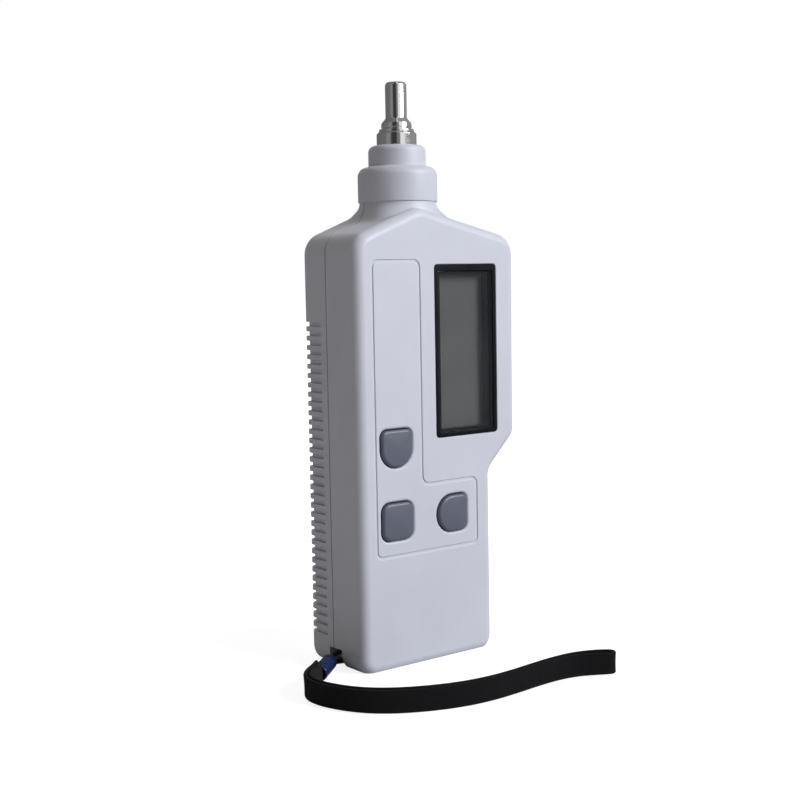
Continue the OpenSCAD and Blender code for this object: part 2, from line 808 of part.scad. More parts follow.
module rear_cover() color(shell_colour) {
    difference() {
        union() {
            difference() {
                rear_half() case_form();
                difference() {
                    case_hollow();
                    for (p = case_screw_places) rod(p, rear_boss_r, front_y, back_y);
                    slot_walls();
                }
            }
            bay_walls();
        }
        translate([axis_x, 0, ledge_z - cut]) cylinder(h = ledge_t + 2 * cut, r = spigot_r + spigot_gap);
        block(
            [bay_x - door_half_w - door_gap, back_y - door_t - door_gap, door_z0 - door_gap],
            [bay_x + door_half_w + door_gap, back_y + cut, door_z1 + door_gap]
        );
        block(
            [bay_x0 + bay_wall, inner_back_y - door_gap, door_z0 - door_gap],
            [bay_x1 - bay_wall, back_y + cut, bay_top_z]
        );
        for (p = case_screw_places) {
            rod(p, case_screw_r + seat_gap, seam_y - cut, screw_head_y + cut);
            rod(p, case_head_r + seat_gap, screw_head_y, back_y + cut);
        }
        slot_cut();
        rod([pin_x, pin_z], pin_r + fit_gap, slot_y, slot_y + slot_w / 2 + slot_wall + cut);
        parting_cut(seam_y - cut, seam_y + parting_w / 2);
        rib_grooves();
    }
}

module battery_door() color(shell_colour) {
    difference() {
        union() {
            block([bay_x - door_half_w, back_y - door_t, door_z0], [bay_x + door_half_w, back_y, door_z1]);
            for (s = [-1, 1]) translate([bay_x + s * door_tab_x, 0, 0]) door_tab();
        }
        for (s = [-1, 1]) block(
            [bay_x + s * latch_w / 2 - latch_slot_w / 2, back_y - door_t - cut, door_z1 - latch_l],
            [bay_x + s * latch_w / 2 + latch_slot_w / 2, back_y + cut, door_z1 + cut]
        );
        translate([bay_x, back_y + thumb_r - thumb_depth, door_z1 - 2 * latch_l]) sphere(r = thumb_r);
    }
}

// Tab at the door's foot that hooks behind the rear wall
module door_tab() {
    tab_y = inner_back_y - door_gap;
    block(
        [-door_tab_w / 2, tab_y - door_tab_t, door_z0 - door_tab_l],
        [door_tab_w / 2, tab_y, door_z0 + bay_wall]
    );
    block(
        [-door_tab_w / 2, tab_y - door_tab_t, door_z0],
        [door_tab_w / 2, back_y - door_t / 2, door_z0 + bay_wall]
    );
}

module display_bezel() color(black_colour) {
    g = seat_gap / 2;
    x0 = window_x0 + bezel_border;
    x1 = window_x1 - bezel_border;
    z0 = window_z0 + bezel_border;
    z1 = window_z1 - bezel_border - top_border_extra;
    difference() {
        union() {
            plate(frame_outline(window_x0 + g, window_z0 + g, window_x1 - g, window_z1 - g, window_r - g),
                front_y + bezel_sink, glass_y - g);
            plate(frame_outline(window_x0 - bezel_flange, window_z0 - bezel_flange,
                window_x1 + bezel_flange, window_z1 + bezel_flange / 2, window_r),
                inner_front_y, inner_front_y + bezel_flange_t);
        }
        plate(frame_outline(x0, z0, x1, z1, window_r / 2), front_y, board_y);
        plate(
            frame_outline(x0 - lens_rebate, z0 - lens_rebate, x1 + lens_rebate, z1 + lens_rebate, window_r / 2),
            front_y, front_y + lens_sink + lens_t);
    }
}

module display_window() color([0.8, 0.85, 0.88, 0.3]) {
    g = lens_rebate - seat_gap / 2;
    plate(frame_outline(
        window_x0 + bezel_border - g, window_z0 + bezel_border - g,
        window_x1 - bezel_border + g, window_z1 - bezel_border - top_border_extra + g, window_r / 2),
        front_y + lens_sink, front_y + lens_sink + lens_t);
}

module display_glass() color([0.39, 0.39, 0.38]) {
    block([glass_x0, glass_y, glass_z0], [glass_x1, glass_y + glass_t, glass_z1]);
}

module display_holder() color([0.9, 0.9, 0.88]) {
    difference() {
        block(
            [glass_x0 - seat_gap - holder_t, glass_y, glass_z0 - seat_gap - holder_t],
            [glass_x1 + seat_gap + holder_t, board_y, glass_z1 + seat_gap + holder_t]
        );
        block(
            [glass_x0 - seat_gap, glass_y - cut, glass_z0 - seat_gap],
            [glass_x1 + seat_gap, board_y + cut, glass_z1 + seat_gap]
        );
    }
}

module display_strips() color([0.85, 0.55, 0.45]) {
    for (x = [glass_x0 + strip_inset, glass_x1 - strip_inset - strip_w]) block(
        [x, glass_y + glass_t, glass_z0 + strip_w],
        [x + strip_w, board_y, glass_z1 - strip_w]
    );
}

module measure_button() color(key_colour) {
    key_cap(moved(measure_outline(0), measure_place), moved(measure_outline(key_flange), measure_place));
}

module mode_button() color(key_colour) {
    key_cap(moved(mode_outline(0), mode_place), moved(mode_outline(key_flange), mode_place));
}

module range_button() color(key_colour) {
    key_cap(moved(range_outline(0), range_place), moved(range_outline(key_flange), range_place));
}

module measure_plunger() color(black_colour) plunger(measure_place);
module mode_plunger() color(black_colour) plunger(mode_place);
module range_plunger() color(black_colour) plunger(range_place);
module measure_switch() color("silver") key_switch(measure_place);
module mode_switch() color("silver") key_switch(mode_place);
module range_switch() color("silver") key_switch(range_place);

module main_board() color(board_colour) {
    difference() {
        intersection() {
            plate(inset(case_outline(), board_margin), board_y, board_back_y);
            block([left_x, board_y - cut, board_base_z], [right_x, board_back_y + cut, board_top_z]);
        }
        for (p = board_screw_places) rod(p, board_screw_r + seat_gap, board_y - cut, board_back_y + cut);
    }
}

// A piece of the given size standing on the back of the board, with its middle at x, z
module board_piece(x, z, size) {
    translate([x - size.x / 2, board_back_y, z - size.z / 2]) cube(size);
}

module processor_chip() color(black_colour) {
    board_piece(window_mid.x, window_mid.y, processor_size);
}

module amplifier_chips() color(black_colour) {
    for (i = [0 : 2])
        board_piece(
            left_x + board_margin + board_piece_margin,
            board_top_z - amplifier_pitch * (i + 2),
            amplifier_size
        );
}

module crystal() color("silver") {
    board_piece(window_mid.x, window_mid.y + processor_size.z, crystal_size);
}

module trimmer() color([0.15, 0.35, 0.7]) {
    x = left_x + board_margin + 3 * board_piece_margin;
    z = board_top_z - amplifier_pitch * 2;
    difference() {
        board_piece(x, z, trimmer_size);
        rod(
            [x, z], trimmer_screw_r,
            board_back_y + trimmer_size.y - wire_r, board_back_y + trimmer_size.y + cut
        );
    }
}

module capacitors() color([0.1, 0.1, 0.25]) {
    for (i = [0 : capacitor_count - 1])
        rod([window_x1 - capacitor_r, window_z0 + capacitor_r + capacitor_pitch * i], capacitor_r,
            board_back_y, board_back_y + capacitor_h);
}

module resistors() color([0.12, 0.12, 0.12]) {
    for (row = [0 : resistor_rows - 1]) for (i = [0 : resistor_count - 1])
        board_piece(left_x + board_margin + board_piece_margin + resistor_pitch * i,
            board_top_z - amplifier_pitch * 5 - resistor_pitch * row, resistor_size);
}

module lead_socket() color([0.93, 0.92, 0.85]) {
    board_piece(socket_place.x, socket_place.y, socket_size);
}

module probe_collar() color(shell_colour) {
    top = collar_h + nose_h;
    bore_r = sensor_r + sensor_gap;
    wide_r = sensor_body_r + sensor_gap;
    ledge = sensor_ledge_z - case_h;
    translate([axis_x, 0, case_h]) rotate_extrude() polygon(concat(
        [[wide_r, -spigot_l], [spigot_r, -spigot_l]],
        [[spigot_r, -ledge_t - seat_gap - flange_t], [flange_r, -ledge_t - seat_gap - flange_t]],
        [[flange_r, -ledge_t - seat_gap], [spigot_r, -ledge_t - seat_gap]],
        [[spigot_r, 0], [collar_r, 0]],
        quarter(collar_r - collar_round, collar_h - collar_round, collar_round),
        [[nose_r, collar_h]],
        quarter(nose_r - nose_round, top - nose_round, nose_round),
        [[bore_r, top], [bore_r, ledge], [wide_r, ledge]]
    ));
}

// Quarter round from its outer side to its top
function quarter(x, z, r) =
    [for (i = [0 : arc_steps]) let (a = 90 * i / arc_steps) [x + r * cos(a), z + r * sin(a)]];

module sensor_housing() color(steel_colour) {
    inner_r = sensor_body_r - sensor_wall;
    floor_z = sensor_shoulder_z - sensor_floor_t;
    stem_z = floor_z - post_stem_l;
    translate([axis_x, 0, 0]) rotate_extrude() polygon([
        [stud_r + fit_gap, sensor_top_z],
        [stud_r + fit_gap, sensor_top_z - stud_l - seat_gap],
        [0, sensor_top_z - stud_l - seat_gap],
        [0, stem_z],
        [post_stem_r, stem_z],
        [post_stem_r, floor_z],
        [inner_r, floor_z],
        [inner_r, sensor_base_z],
        [sensor_body_r, sensor_base_z],
        [sensor_body_r, sensor_shoulder_z],
        [sensor_r, sensor_shoulder_z],
        [sensor_r, sensor_top_z - sensor_chamfer],
        [sensor_r - sensor_chamfer, sensor_top_z]
    ]);
}

module sensor_seal() color(black_colour) {
    translate([axis_x, 0, sensor_shoulder_z + seal_r + seat_gap / 4])
        rotate_extrude() translate([(sensor_r + sensor_body_r) / 2, 0]) circle(r = seal_r);
}

// Ring round the sensor's stem, hanging down from z
module stem_ring(z, r, h) {
    translate([axis_x, 0, z - h]) difference() {
        cylinder(h = h, r = r);
        translate([0, 0, -cut]) cylinder(h = h + 2 * cut, r = post_stem_r + fit_gap);
    }
}

module piezo_ring() color([0.9, 0.88, 0.8]) stem_ring(stack_z, piezo_r, piezo_t);
module seismic_mass() color([0.5, 0.5, 0.52]) stem_ring(stack_z - piezo_t, mass_r, mass_h);
module preload_nut() color(steel_colour) {
    translate([axis_x, 0, stack_z - piezo_t - mass_h - nut_h]) difference() {
        cylinder(h = nut_h, r = nut_r, $fn = 6);
        translate([0, 0, -cut]) cylinder(h = nut_h + 2 * cut, r = post_stem_r + fit_gap);
    }
}

module sensor_lid() color([0.2, 0.2, 0.2]) {
    r = sensor_body_r - sensor_wall - fit_gap;
    translate([axis_x, 0, sensor_base_z]) difference() {
        cylinder(h = lid_t, r = r);
        translate([0, 0, -cut]) cylinder(h = lid_t + 2 * cut, r = lead_r + fit_gap);
    }
}

// Round tube of radius r along a path of points
module tube(path, r) {
    n = len(path);
    skin([for (i = [0 : n - 1])
        let (
            t = unit(path[min(i + 1, n - 1)] - path[max(i - 1, 0)]),
            side = unit(cross(t, abs(t.z) > 0.9 ? [0, 1, 0] : [0, 0, 1])),
            up = cross(side, t)
        )
        [for (k = [0 : tube_sides - 1])
            path[i] + r * (cos(360 * k / tube_sides) * side + sin(360 * k / tube_sides) * up)]]);
}

// Point at the share t of a curve that leaves p0 along d0 and reaches p1 along d1
function bend(p0, d0, p1, d1, t) =
    let (s = 1 - t)
    s * s * s * p0 + 3 * s * s * t * (p0 + d0) + 3 * s * t * t * (p1 - d1) + t * t * t * p1;

function bend_path(p0, d0, p1, d1, n) = [for (i = [0 : n]) bend(p0, d0, p1, d1, i / n)];

module sensor_lead() color([0.15, 0.15, 0.15]) {
    top = [axis_x, 0, sensor_base_z + lid_t];
    end = [socket_place.x, board_back_y + socket_size.y, socket_place.y];
    from = [top.x, top.y, sensor_base_z - lead_r];
    to = end + [0, lead_r, 0];
    path = bend_path(from, [0, 0, -lead_bend], to, [0, -lead_bend, 0], lead_points);
    tube(concat([top], path, [end]), lead_r);
}

module probe_tip() color(steel_colour) {
    translate([axis_x, 0, sensor_top_z]) rotate_extrude() polygon([
        [0, -stud_l],
        [stud_r, -stud_l],
        [stud_r, 0],
        [tip_foot_r, 0],
        [tip_foot_r, tip_foot_h],
        [tip_flare_r - neck_groove_h, tip_foot_h],
        [tip_flare_r - neck_groove_h, tip_foot_h + neck_groove_h],
        [tip_flare_r, tip_foot_h + neck_groove_h],
        [tip_r, tip_foot_h + tip_flare_h],
        [tip_r, tip_h - tip_cap_h - tip_chamfer],
        [tip_cap_r, tip_h - tip_cap_h],
        [tip_cap_r, tip_h - tip_cap_h / 2],
        [tip_cap_r - tip_cap_h / 2, tip_h],
        [0, tip_h]
    ]);
}

module battery() color([0.25, 0.25, 0.28]) {
    outline = rounded([
        [bay_x - battery_w / 2, battery_front_y, battery_edge_r],
        [bay_x + battery_w / 2, battery_front_y, battery_edge_r],
        [bay_x + battery_w / 2, battery_back_y, battery_edge_r],
        [bay_x - battery_w / 2, battery_back_y, battery_edge_r]
    ]);
    translate([0, 0, battery_z]) linear_extrude(battery_h) polygon(outline);
    for (s = [-1, 1]) terminal_rod(s, battery_z + battery_h - cut, cut + terminal_h, terminal_r);
}

module terminal_rod(s, z, h, r) {
    translate([bay_x + s * terminal_pitch / 2, (battery_front_y + battery_back_y) / 2, z])
        cylinder(h = h, r = r);
}

module battery_snap() color(black_colour) {
    y = (battery_front_y + battery_back_y) / 2;
    difference() {
        block(
            [bay_x - snap_w / 2, y - snap_d / 2, snap_z],
            [bay_x + snap_w / 2, y + snap_d / 2, snap_z + snap_t]
        );
        for (s = [-1, 1]) terminal_rod(s, snap_z - cut, cut + terminal_h, terminal_r + seat_gap / 2);
    }
}

module battery_leads() {
    y = (battery_front_y + battery_back_y) / 2 - snap_d / 2;
    for (s = [-1, 1]) color(s < 0 ? "red" : "black")
        tube([
            [lead_hole.x + s * lead_pitch / 2, y, lead_hole.y],
            [lead_hole.x + s * lead_pitch / 2, board_back_y, lead_hole.y]
        ], wire_r);
}

module battery_pad() color([0.3, 0.3, 0.3]) {
    block(
        [bay_x - battery_w / 2, battery_front_y, bay_floor_z],
        [bay_x + battery_w / 2, door_hinge_y - door_swing_r, bay_floor_z + pad_t]
    );
}

// Screw along Y whose head's underside lies at y
module screw(place, y, r, l, head_r, head_t) {
    difference() {
        union() {
            rod(place, r, y - l, y + head_t / 2);
            rod(place, head_r, y, y + head_t);
        }
        for (a = [0, 90]) translate([place.x, y + head_t, place.y]) rotate([0, a, 0])
            cube([2 * recess_share * head_r, head_t, head_r / 4], center = true);
    }
}

module case_screws() color(steel_colour) {
    for (p = case_screw_places)
        screw(p, screw_head_y, case_screw_r, case_screw_l, case_head_r, case_head_t);
}

module board_screws() color(steel_colour) {
    for (p = board_screw_places)
        screw(p, board_back_y, board_screw_r, board_screw_l, board_head_r, board_head_t);
}

module lanyard_pin() color(steel_colour) {
    rod([pin_x, pin_z], pin_r, slot_y - slot_w / 2 - slot_wall, slot_y + slot_w / 2 + slot_wall);
}

// One strand of the cord, above the middle line for s = 1 and below it for s = -1
function strand(s) = [for (i = [0 : len(cord_route) - 1])
    [cord_route[i].x, cord_route[i].y, cord_z + s * cord_spread[i]]];

function reversed(list) = [for (i = [len(list) - 1 : -1 : 0]) list[i]];

module strap_cord() color(black_colour) {
    turn = [for (a = [90 : -20 : -90])
        [pin_x + cord_turn_r * cos(a), slot_y, pin_z + cord_turn_r * sin(a)]];
    tube(concat(reversed(strand(1)), turn, strand(-1)), cord_r);
}

module strap_sleeve() color([0.05, 0.15, 0.42]) {
    n = len(cord_route) - 1;
    p0 = [cord_route[sleeve_start].x, cord_route[sleeve_start].y, cord_z];
    p1 = [cord_route[n].x, cord_route[n].y, cord_z];
    d = p1 - p0;
    translate(p0) rotate([0, 90, atan2(d.y, d.x)]) difference() {
        cylinder(h = norm(d), r = sleeve_r);
        translate([0, 0, -cut]) cylinder(h = norm(d) + 2 * cut, r = 2 * cord_r + sleeve_gap);
    }
}

// Side line of the strap's flattened loop at the distance given for each point
function strap_side(distances) = [for (i = [0 : len(strap_route) - 1])
    let (t = unit(strap_route[min(i + 1, len(strap_route) - 1)] - strap_route[max(i - 1, 0)]))
    strap_route[i] + distances[i] * [-t.y, t.x]];

module wrist_strap() color(black_colour) {
    n = len(strap_route) - 1;
    part = [for (s = strap_part_shares) s * strap_t];
    far = unit(strap_route[n] - strap_route[n - 1]) * strap_t;
    end_in = strap_route[n] + far * strap_end_share;
    outer = [for (p = part) p + strap_t];
    inner = [for (i = [1 : n]) part[i]];
    left = strap_side(outer);
    right = strap_side([for (d = outer) -d]);
    left_in = strap_side(concat([0], inner));
    right_in = strap_side(concat([0], [for (d = inner) -d]));
    linear_extrude(strap_w) difference() {
        polygon(concat(left, [end_in + far], reversed(right)));
        polygon(concat([for (i = [1 : n]) left_in[i]], [end_in],
            [for (i = [n : -1 : 1]) right_in[i]]));
    }
}

front_cover();
rear_cover();
battery_door();
display_bezel();
display_window();
display_glass();
display_holder();
display_strips();
measure_button();
mode_button();
range_button();
measure_plunger();
mode_plunger();
range_plunger();
measure_switch();
mode_switch();
range_switch();
main_board();
processor_chip();
amplifier_chips();
crystal();
trimmer();
capacitors();
resistors();
lead_socket();
probe_collar();
sensor_housing();
sensor_seal();
piezo_ring();
seismic_mass();
preload_nut();
sensor_lid();
sensor_lead();
probe_tip();
battery();
battery_snap();
battery_leads();
battery_pad();
case_screws();
board_screws();
lanyard_pin();
strap_cord();
strap_sleeve();
wrist_strap();
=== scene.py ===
import math

import bmesh
import bpy
from mathutils import Matrix, Vector


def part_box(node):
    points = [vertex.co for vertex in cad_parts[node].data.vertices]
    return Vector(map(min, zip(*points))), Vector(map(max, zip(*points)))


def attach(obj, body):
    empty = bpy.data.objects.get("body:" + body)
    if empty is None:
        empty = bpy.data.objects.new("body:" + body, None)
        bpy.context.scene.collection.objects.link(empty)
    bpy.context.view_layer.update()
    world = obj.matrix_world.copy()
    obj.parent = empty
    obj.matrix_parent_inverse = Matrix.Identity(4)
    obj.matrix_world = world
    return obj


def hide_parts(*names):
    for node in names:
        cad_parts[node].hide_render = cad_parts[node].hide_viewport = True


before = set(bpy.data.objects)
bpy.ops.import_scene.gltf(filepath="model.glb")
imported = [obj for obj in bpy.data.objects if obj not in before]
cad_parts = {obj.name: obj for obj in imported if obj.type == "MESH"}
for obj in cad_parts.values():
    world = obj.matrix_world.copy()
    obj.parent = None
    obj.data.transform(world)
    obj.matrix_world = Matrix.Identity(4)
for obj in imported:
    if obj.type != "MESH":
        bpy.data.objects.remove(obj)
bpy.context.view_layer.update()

# One millimetre in the scene's metres, and the body that most pieces ride on
MM = 0.001
CASE = "case"
SCENE = bpy.context.scene

# Camera, fitted to the photograph: place in metres, angles in degrees
IMAGE_PX = 800
FOCAL_PX = 1318.2
SENSOR_MM = 36.0
CAMERA_AT = (-0.26578, -0.33931, 0.12282)
CAMERA_HEADING = 37.539
CAMERA_DIP = 5.278
CAMERA_ROLL = -1.052
CAMERA_NEAR = 0.01
CAMERA_FAR = 50

# Treatment of the frame's meshes: lengths in millimetres, angles in degrees
MERGE = 0.003
FLAT_ANGLE = 0.5
ROUNDED_ANGLE = 30
SHARP_ANGLE = 35

# Main sizes of the case, in millimetres, as in the part's source
FRONT_Y = -15.0
BACK_Y = 15.0
WALL = 2.0
AXIS_X = -4.5
CASE_H = 147.0
CASE_HALF_W = 32.5
GRIP_X = 21.2
SHOULDER_Z = 135.4
WINDOW = (-2.0, 71.7, 23.9, 127.0)
GROOVE_DEPTH = 0.35
RIB_RUN = 10.4
RIB_LOW_Z = 8.0
RIB_HIGH_Z = 112.0

# Regions of the case's edges, in millimetres: each edge is chosen by its middle
NEAR = 0.05
WINDOW_REACH = 1.0
GROOVE_REACH_X = GRIP_X + 6
GROOVE_LOW_Z = 30.0
RIB_REACH = 1.0
RIB_LEFT_X = -29.0
RIB_RIGHT_X = 17.5
NECK_SEAT_R = 12.0
INNER_HALF_W = CASE_HALF_W - WALL - 0.1
INNER_LOW_Z = 1.5
INNER_HIGH_Z = SHOULDER_Z - 1.4

# Keys, in millimetres and degrees: each has the x and z of its middle, and the radii of its corners
KEY_W = 12.0
KEY_H = 11.8
KEY_RISE = 0.8
KEY_FLANGE = 1.0
KEY_SIDE_Y = FRONT_Y + 0.4
KEY_FLANGE_Y = -12.8
KEY_BACK_Y = -12.0
KEY_CROWN = 0.22
KEY_CROWN_SHARE = 0.2
KEY_CROWN_RINGS = 5
KEY_RIM = 1.0
KEY_RIM_DEPTH = 0.75
KEY_RIM_RINGS = 8
KEY_STEPS = 12
KEY_SHARP_ANGLE = 40
KEY_TIGHT_R = 2.2
KEY_SQUARE_R = 2.8
KEY_FULL_R = KEY_W / 2 - 0.2
KEYS = {
    "measure": ((-18.2, 69.9), [KEY_FULL_R, KEY_FULL_R, KEY_TIGHT_R, KEY_TIGHT_R]),
    "mode": ((-18.2, 46.9), [KEY_SQUARE_R] * 4),
    "range": ((4.0, 46.9), [KEY_FULL_R, KEY_TIGHT_R, KEY_TIGHT_R, KEY_FULL_R]),
}

# Display, in millimetres: each plate has the depth of its front, and its margin
PRINT_SIDE = 1.8
PRINT_END = 0.9
PRINT_T = 0.05
PRINT_GAP = 0.1
PRINT_OUTER_R = 0.6
PRINT_INNER_R = 0.3
PRINT_STEPS = 6
DISPLAY_PLATES = [(0.0, 0.9), (0.2, 0.0), (1.2, 0.4)]
PLATE_R = 0.3
PLATE_STEPS = 4
PLATE_CHAMFER = 0.05

# Turned profiles, in millimetres: radius, height, and the rounding of the corner
COLLAR_PROFILE = [
    (8.6, CASE_H - 7, 0.1), (9.9, CASE_H - 7, 0.2), (9.9, CASE_H - 4.7, 0), (11.2, CASE_H - 4.7, 0.2),
    (11.2, CASE_H - 2.7, 0.2), (9.9, CASE_H - 2.7, 0), (9.9, CASE_H, 0), (12.75, CASE_H, 0.25),
    (12.75, 158.2, 2.9), (9.2, 158.2, 0.35), (9.2, 165, 2.0), (6.5, 165, 0.25), (6.5, 158.5, 0),
    (8.6, 158.5, 0.1),
]
TIP_PROFILE = [
    (0.001, 162.2, 0), (2, 162.2, 0.3), (2, 169.2, 0), (5.6, 169.2, 0.12), (5.6, 170.2, 0.3),
    (4.56, 170.2, 0.1), (4.56, 170.6, 0.1), (4.96, 170.6, 0.25), (4.8, 172.1, 0.5), (3.43, 173.7, 1.3),
    (3.43, 184.2, 0.5), (2.9, 185, 0.5), (0.001, 185, 0),
]
PROBE_SIDES = 128
COLLAR_STEPS = 10
TIP_STEPS = 6

# Lanyard cord and its sleeve, in millimetres, as in the part's source
CORD_ROUTE = [(-32, 0.2), (-34.5, -0.6), (-36.8, -2.3), (-40, -5.1), (-43.2, -8), (-46.5, -10.9)]
CORD_SPREAD = [1.5, 1.1, 0.85, 0.85, 0.85, 0.85]
CORD_Z = 2.75
CORD_R = 0.8
CORD_SIDES = 12
CORD_STEP = 0.5
PIN_AT = (-29.25, 0.2)
PIN_TURN_R = 1.75
PIN_TURN_ANGLES = range(80, -81, -20)
SLEEVE_R = 2.5
SLEEVE_BORE_R = 1.7
SLEEVE_FROM = 2
SLEEVE_CORNERS = [0.2, 0.45, 0.45, 0.2]
SLEEVE_CORNER_STEPS = 5
SLEEVE_SIDES = 48
SLEEVE_STEP = 0.35
SLEEVE_PINCH = 0.12
SLEEVE_PINCH_L = 0.7
SLEEVE_PINCH_SHARES = (0.25, 0.75)

# Wrist strap, in millimetres, as in the part's source
STRAP_ROUTE = [
    (-46.8, -11.2), (-50.4, -14.3), (-54.2, -17.2), (-57.1, -20.8), (-58.5, -25), (-58.4, -29.6),
    (-57.2, -34), (-55, -38.8), (-51.5, -43.6), (-46.5, -47.9), (-40, -51.6), (-32.5, -54.6),
    (-24.5, -56.6), (-16, -57.4), (-7.5, -57.2), (1, -56.6), (9.5, -56.4), (17, -57.4),
    (22.8, -59.8), (27, -62.4),
]
STRAP_PART_SHARES = [0.1, 0.1, 0.1, 0.2, 0.3, 0.3, 0.3, 0.3, 0.3, 0.3, 0.3, 0.3, 0.3, 0.3, 0.3, 0.4,
                     0.6, 1, 1.3, 1]
STRAP_END_SHARE = 0.6
STRAP_W = 6.8
STRAP_T = 1.1

# Curl of the webbing, and the stitches that join its ends, in millimetres and degrees
STRAP_STEP = 0.7
STRAP_ROWS = 8
STRAP_EDGE_R = 0.42
STRAP_EDGE_STEPS = 3
STRAP_SHARP_ANGLE = 50
STRAP_CUP = 0.10
STRAP_LIFT = 0.18
STRAP_LIFT_L = 17.0
STRAP_LEAN = 0.035
STRAP_LEAN_L = 23.0
STRAP_LEAN_START = 0.6
STITCH_ROUTE_STEP = 0.5
STITCH_R = 0.14
STITCH_SIDES = 6
STITCH_TAPER = [(0, 0.35), (0.2, 1), (0.8, 1), (1, 0.35)]
STITCH_OUT = STRAP_T * 1.1 + 0.02
STITCH_ROWS = 5
STITCH_MARGIN = 1.6
STITCH_LIFT = 0.25
STITCH_PLACES = range(5, 15, 3)
STITCH_SPAN = 2
STITCH_ASIDE = (0.3, 0.5, 1)

# Moulded finishes: name, light and dark colour, roughness, scale and depth of the grain in metres,
# coat, specular level
MOULDED = {
    "shell": ("shell_plastic", (0.604, 0.609, 0.668), (0.574, 0.579, 0.638), 0.42, 2600, 0.00004, 0, 0.4),
    "keys": ("key_rubber", (0.115, 0.121, 0.158), (0.101, 0.107, 0.142), 0.40, 3200, 0.00003, 0.15, 0.4),
    "bezel": ("bezel_plastic", (0.004, 0.004, 0.006), (0.002, 0.002, 0.003), 0.34, 3000, 0.00001, 0, 0.12),
    "black_plastic": ("black_plastic", (0.022, 0.022, 0.023), (0.014, 0.014, 0.015), 0.5, 2400, 0.00004,
                      0, 0.4),
    "holder": ("holder_plastic", (0.72, 0.71, 0.66), (0.66, 0.65, 0.60), 0.5, 2400, 0.00004, 0, 0.4),
    "sleeve": ("sleeve_plastic", (0.002, 0.017, 0.085), (0.001, 0.011, 0.060), 0.30, 1500, 0.00003,
               0.15, 0.3),
    "strips": ("silicone", (0.45, 0.18, 0.12), (0.40, 0.15, 0.10), 0.6, 1800, 0.00004, 0, 0.4),
    "foam": ("foam", (0.035, 0.035, 0.035), (0.02, 0.02, 0.02), 0.95, 900, 0.0003, 0, 0.4),
    "ceramic": ("piezo_ceramic", (0.66, 0.60, 0.45), (0.60, 0.54, 0.40), 0.45, 2000, 0.00003, 0, 0.4),
    "trimmer": ("trimmer_plastic", (0.012, 0.06, 0.26), (0.010, 0.05, 0.22), 0.35, 1800, 0.00003, 0, 0.4),
    "leads": ("wire_jacket", (0.012, 0.012, 0.012), (0.008, 0.008, 0.008), 0.4, 1400, 0.00003, 0, 0.4),
    "thread": ("sewing_thread", (0.030, 0.030, 0.033), (0.018, 0.018, 0.020), 0.7, 5000, 0.00005, 0, 0.4),
}

# Bright metals: name, colour, roughness, turned on a lathe or not
METALS = {
    "steel": ("turned_steel", (0.79, 0.79, 0.80), 0.09, True),
    "screws": ("plated_steel", (0.52, 0.52, 0.53), 0.30, False),
    "tinned": ("tinned_steel", (0.62, 0.62, 0.60), 0.35, False),
}

# Finish of the pieces that keep the shape of their solids
FINISHES = {
    "holder": ["display_holder", "lead_socket"],
    "strips": ["display_strips", "sensor_seal"],
    "black_plastic": ["measure_plunger", "mode_plunger", "range_plunger", "processor_chip",
                      "amplifier_chips", "resistors", "sensor_lid", "battery_snap", "capacitors"],
    "tinned": ["measure_switch", "mode_switch", "range_switch", "crystal"],
    "board": ["main_board"],
    "trimmer": ["trimmer"],
    "screws": ["case_screws", "board_screws", "lanyard_pin", "preload_nut", "seismic_mass"],
    "ceramic": ["piezo_ring"],
    "leads": ["sensor_lead", "battery_leads"],
    "battery": ["battery"],
    "foam": ["battery_pad"],
}

# Lamps: place and side in metres, watts, colour, mirrored by a gloss or not
LIT_POINT = (0, 0, 0.09)
LAMPS = {
    "key": ((1.10, -1.90, 1.15), 1.3, 67.0, (0.92, 0.95, 1.0), True),
    "top": ((0.10, 0.10, 0.95), 0.8, 1.6, (1.0, 1.0, 1.0), False),
    "rear": ((0.7, 1.9, 1.0), 1.0, 20.0, (1.0, 1.0, 1.0), False),
    "side": ((-0.95, -0.1, 0.25), 0.6, 0.72, (1.0, 0.94, 0.80), False),
}

# Brightness that a gloss mirrors, by the share of a full turn from straight left past the front
STUDIO_LEVELS = [
    (0.00, 0.27), (0.045, 0.24), (0.065, 0.05), (0.14, 0.04), (0.165, 0.22), (0.195, 0.20), (0.215, 0.95),
    (0.27, 0.95), (0.30, 0.30), (0.50, 0.34), (0.70, 0.14), (0.96, 0.17), (1.00, 0.27),
]
FILL_COLOUR = (1.0, 0.98, 0.92, 1)
FILL_STRENGTH = 0.10

# Floor, in metres: the distances are those over which its shade fades into the white background
FLOOR_HALF_W = 6.0
FLOOR_DROP = 0.0002
FLOOR_COLOUR = (0.42, 0.42, 0.43, 1)
SHADE_FROM = 0.06
SHADE_TO = 0.22
SHADE_LEVEL = 0.84


# Camera

def add_camera():
    heading, dip, roll = (math.radians(a) for a in (CAMERA_HEADING, CAMERA_DIP, CAMERA_ROLL))
    level = math.cos(dip)
    forward = Vector((math.sin(heading) * level, math.cos(heading) * level, -math.sin(dip)))
    right = Vector((math.cos(heading), -math.sin(heading), 0))
    up = right.cross(forward)
    rolled_right = math.cos(roll) * right + math.sin(roll) * up
    rolled_up = -math.sin(roll) * right + math.cos(roll) * up
    camera = bpy.data.cameras.new("camera")
    camera.sensor_width = SENSOR_MM
    camera.lens = FOCAL_PX * SENSOR_MM / IMAGE_PX
    camera.clip_start = CAMERA_NEAR
    camera.clip_end = CAMERA_FAR
    obj = bpy.data.objects.new("camera", camera)
    turn = Matrix((rolled_right, rolled_up, -forward)).transposed().to_4x4()
    obj.matrix_world = Matrix.Translation(CAMERA_AT) @ turn
    SCENE.collection.objects.link(obj)
    SCENE.camera = obj


# Lines and outlines, in millimetres

def heading_of(a, b):
    """Unit vector from a to b."""
    return (Vector(b) - Vector(a)).normalized()


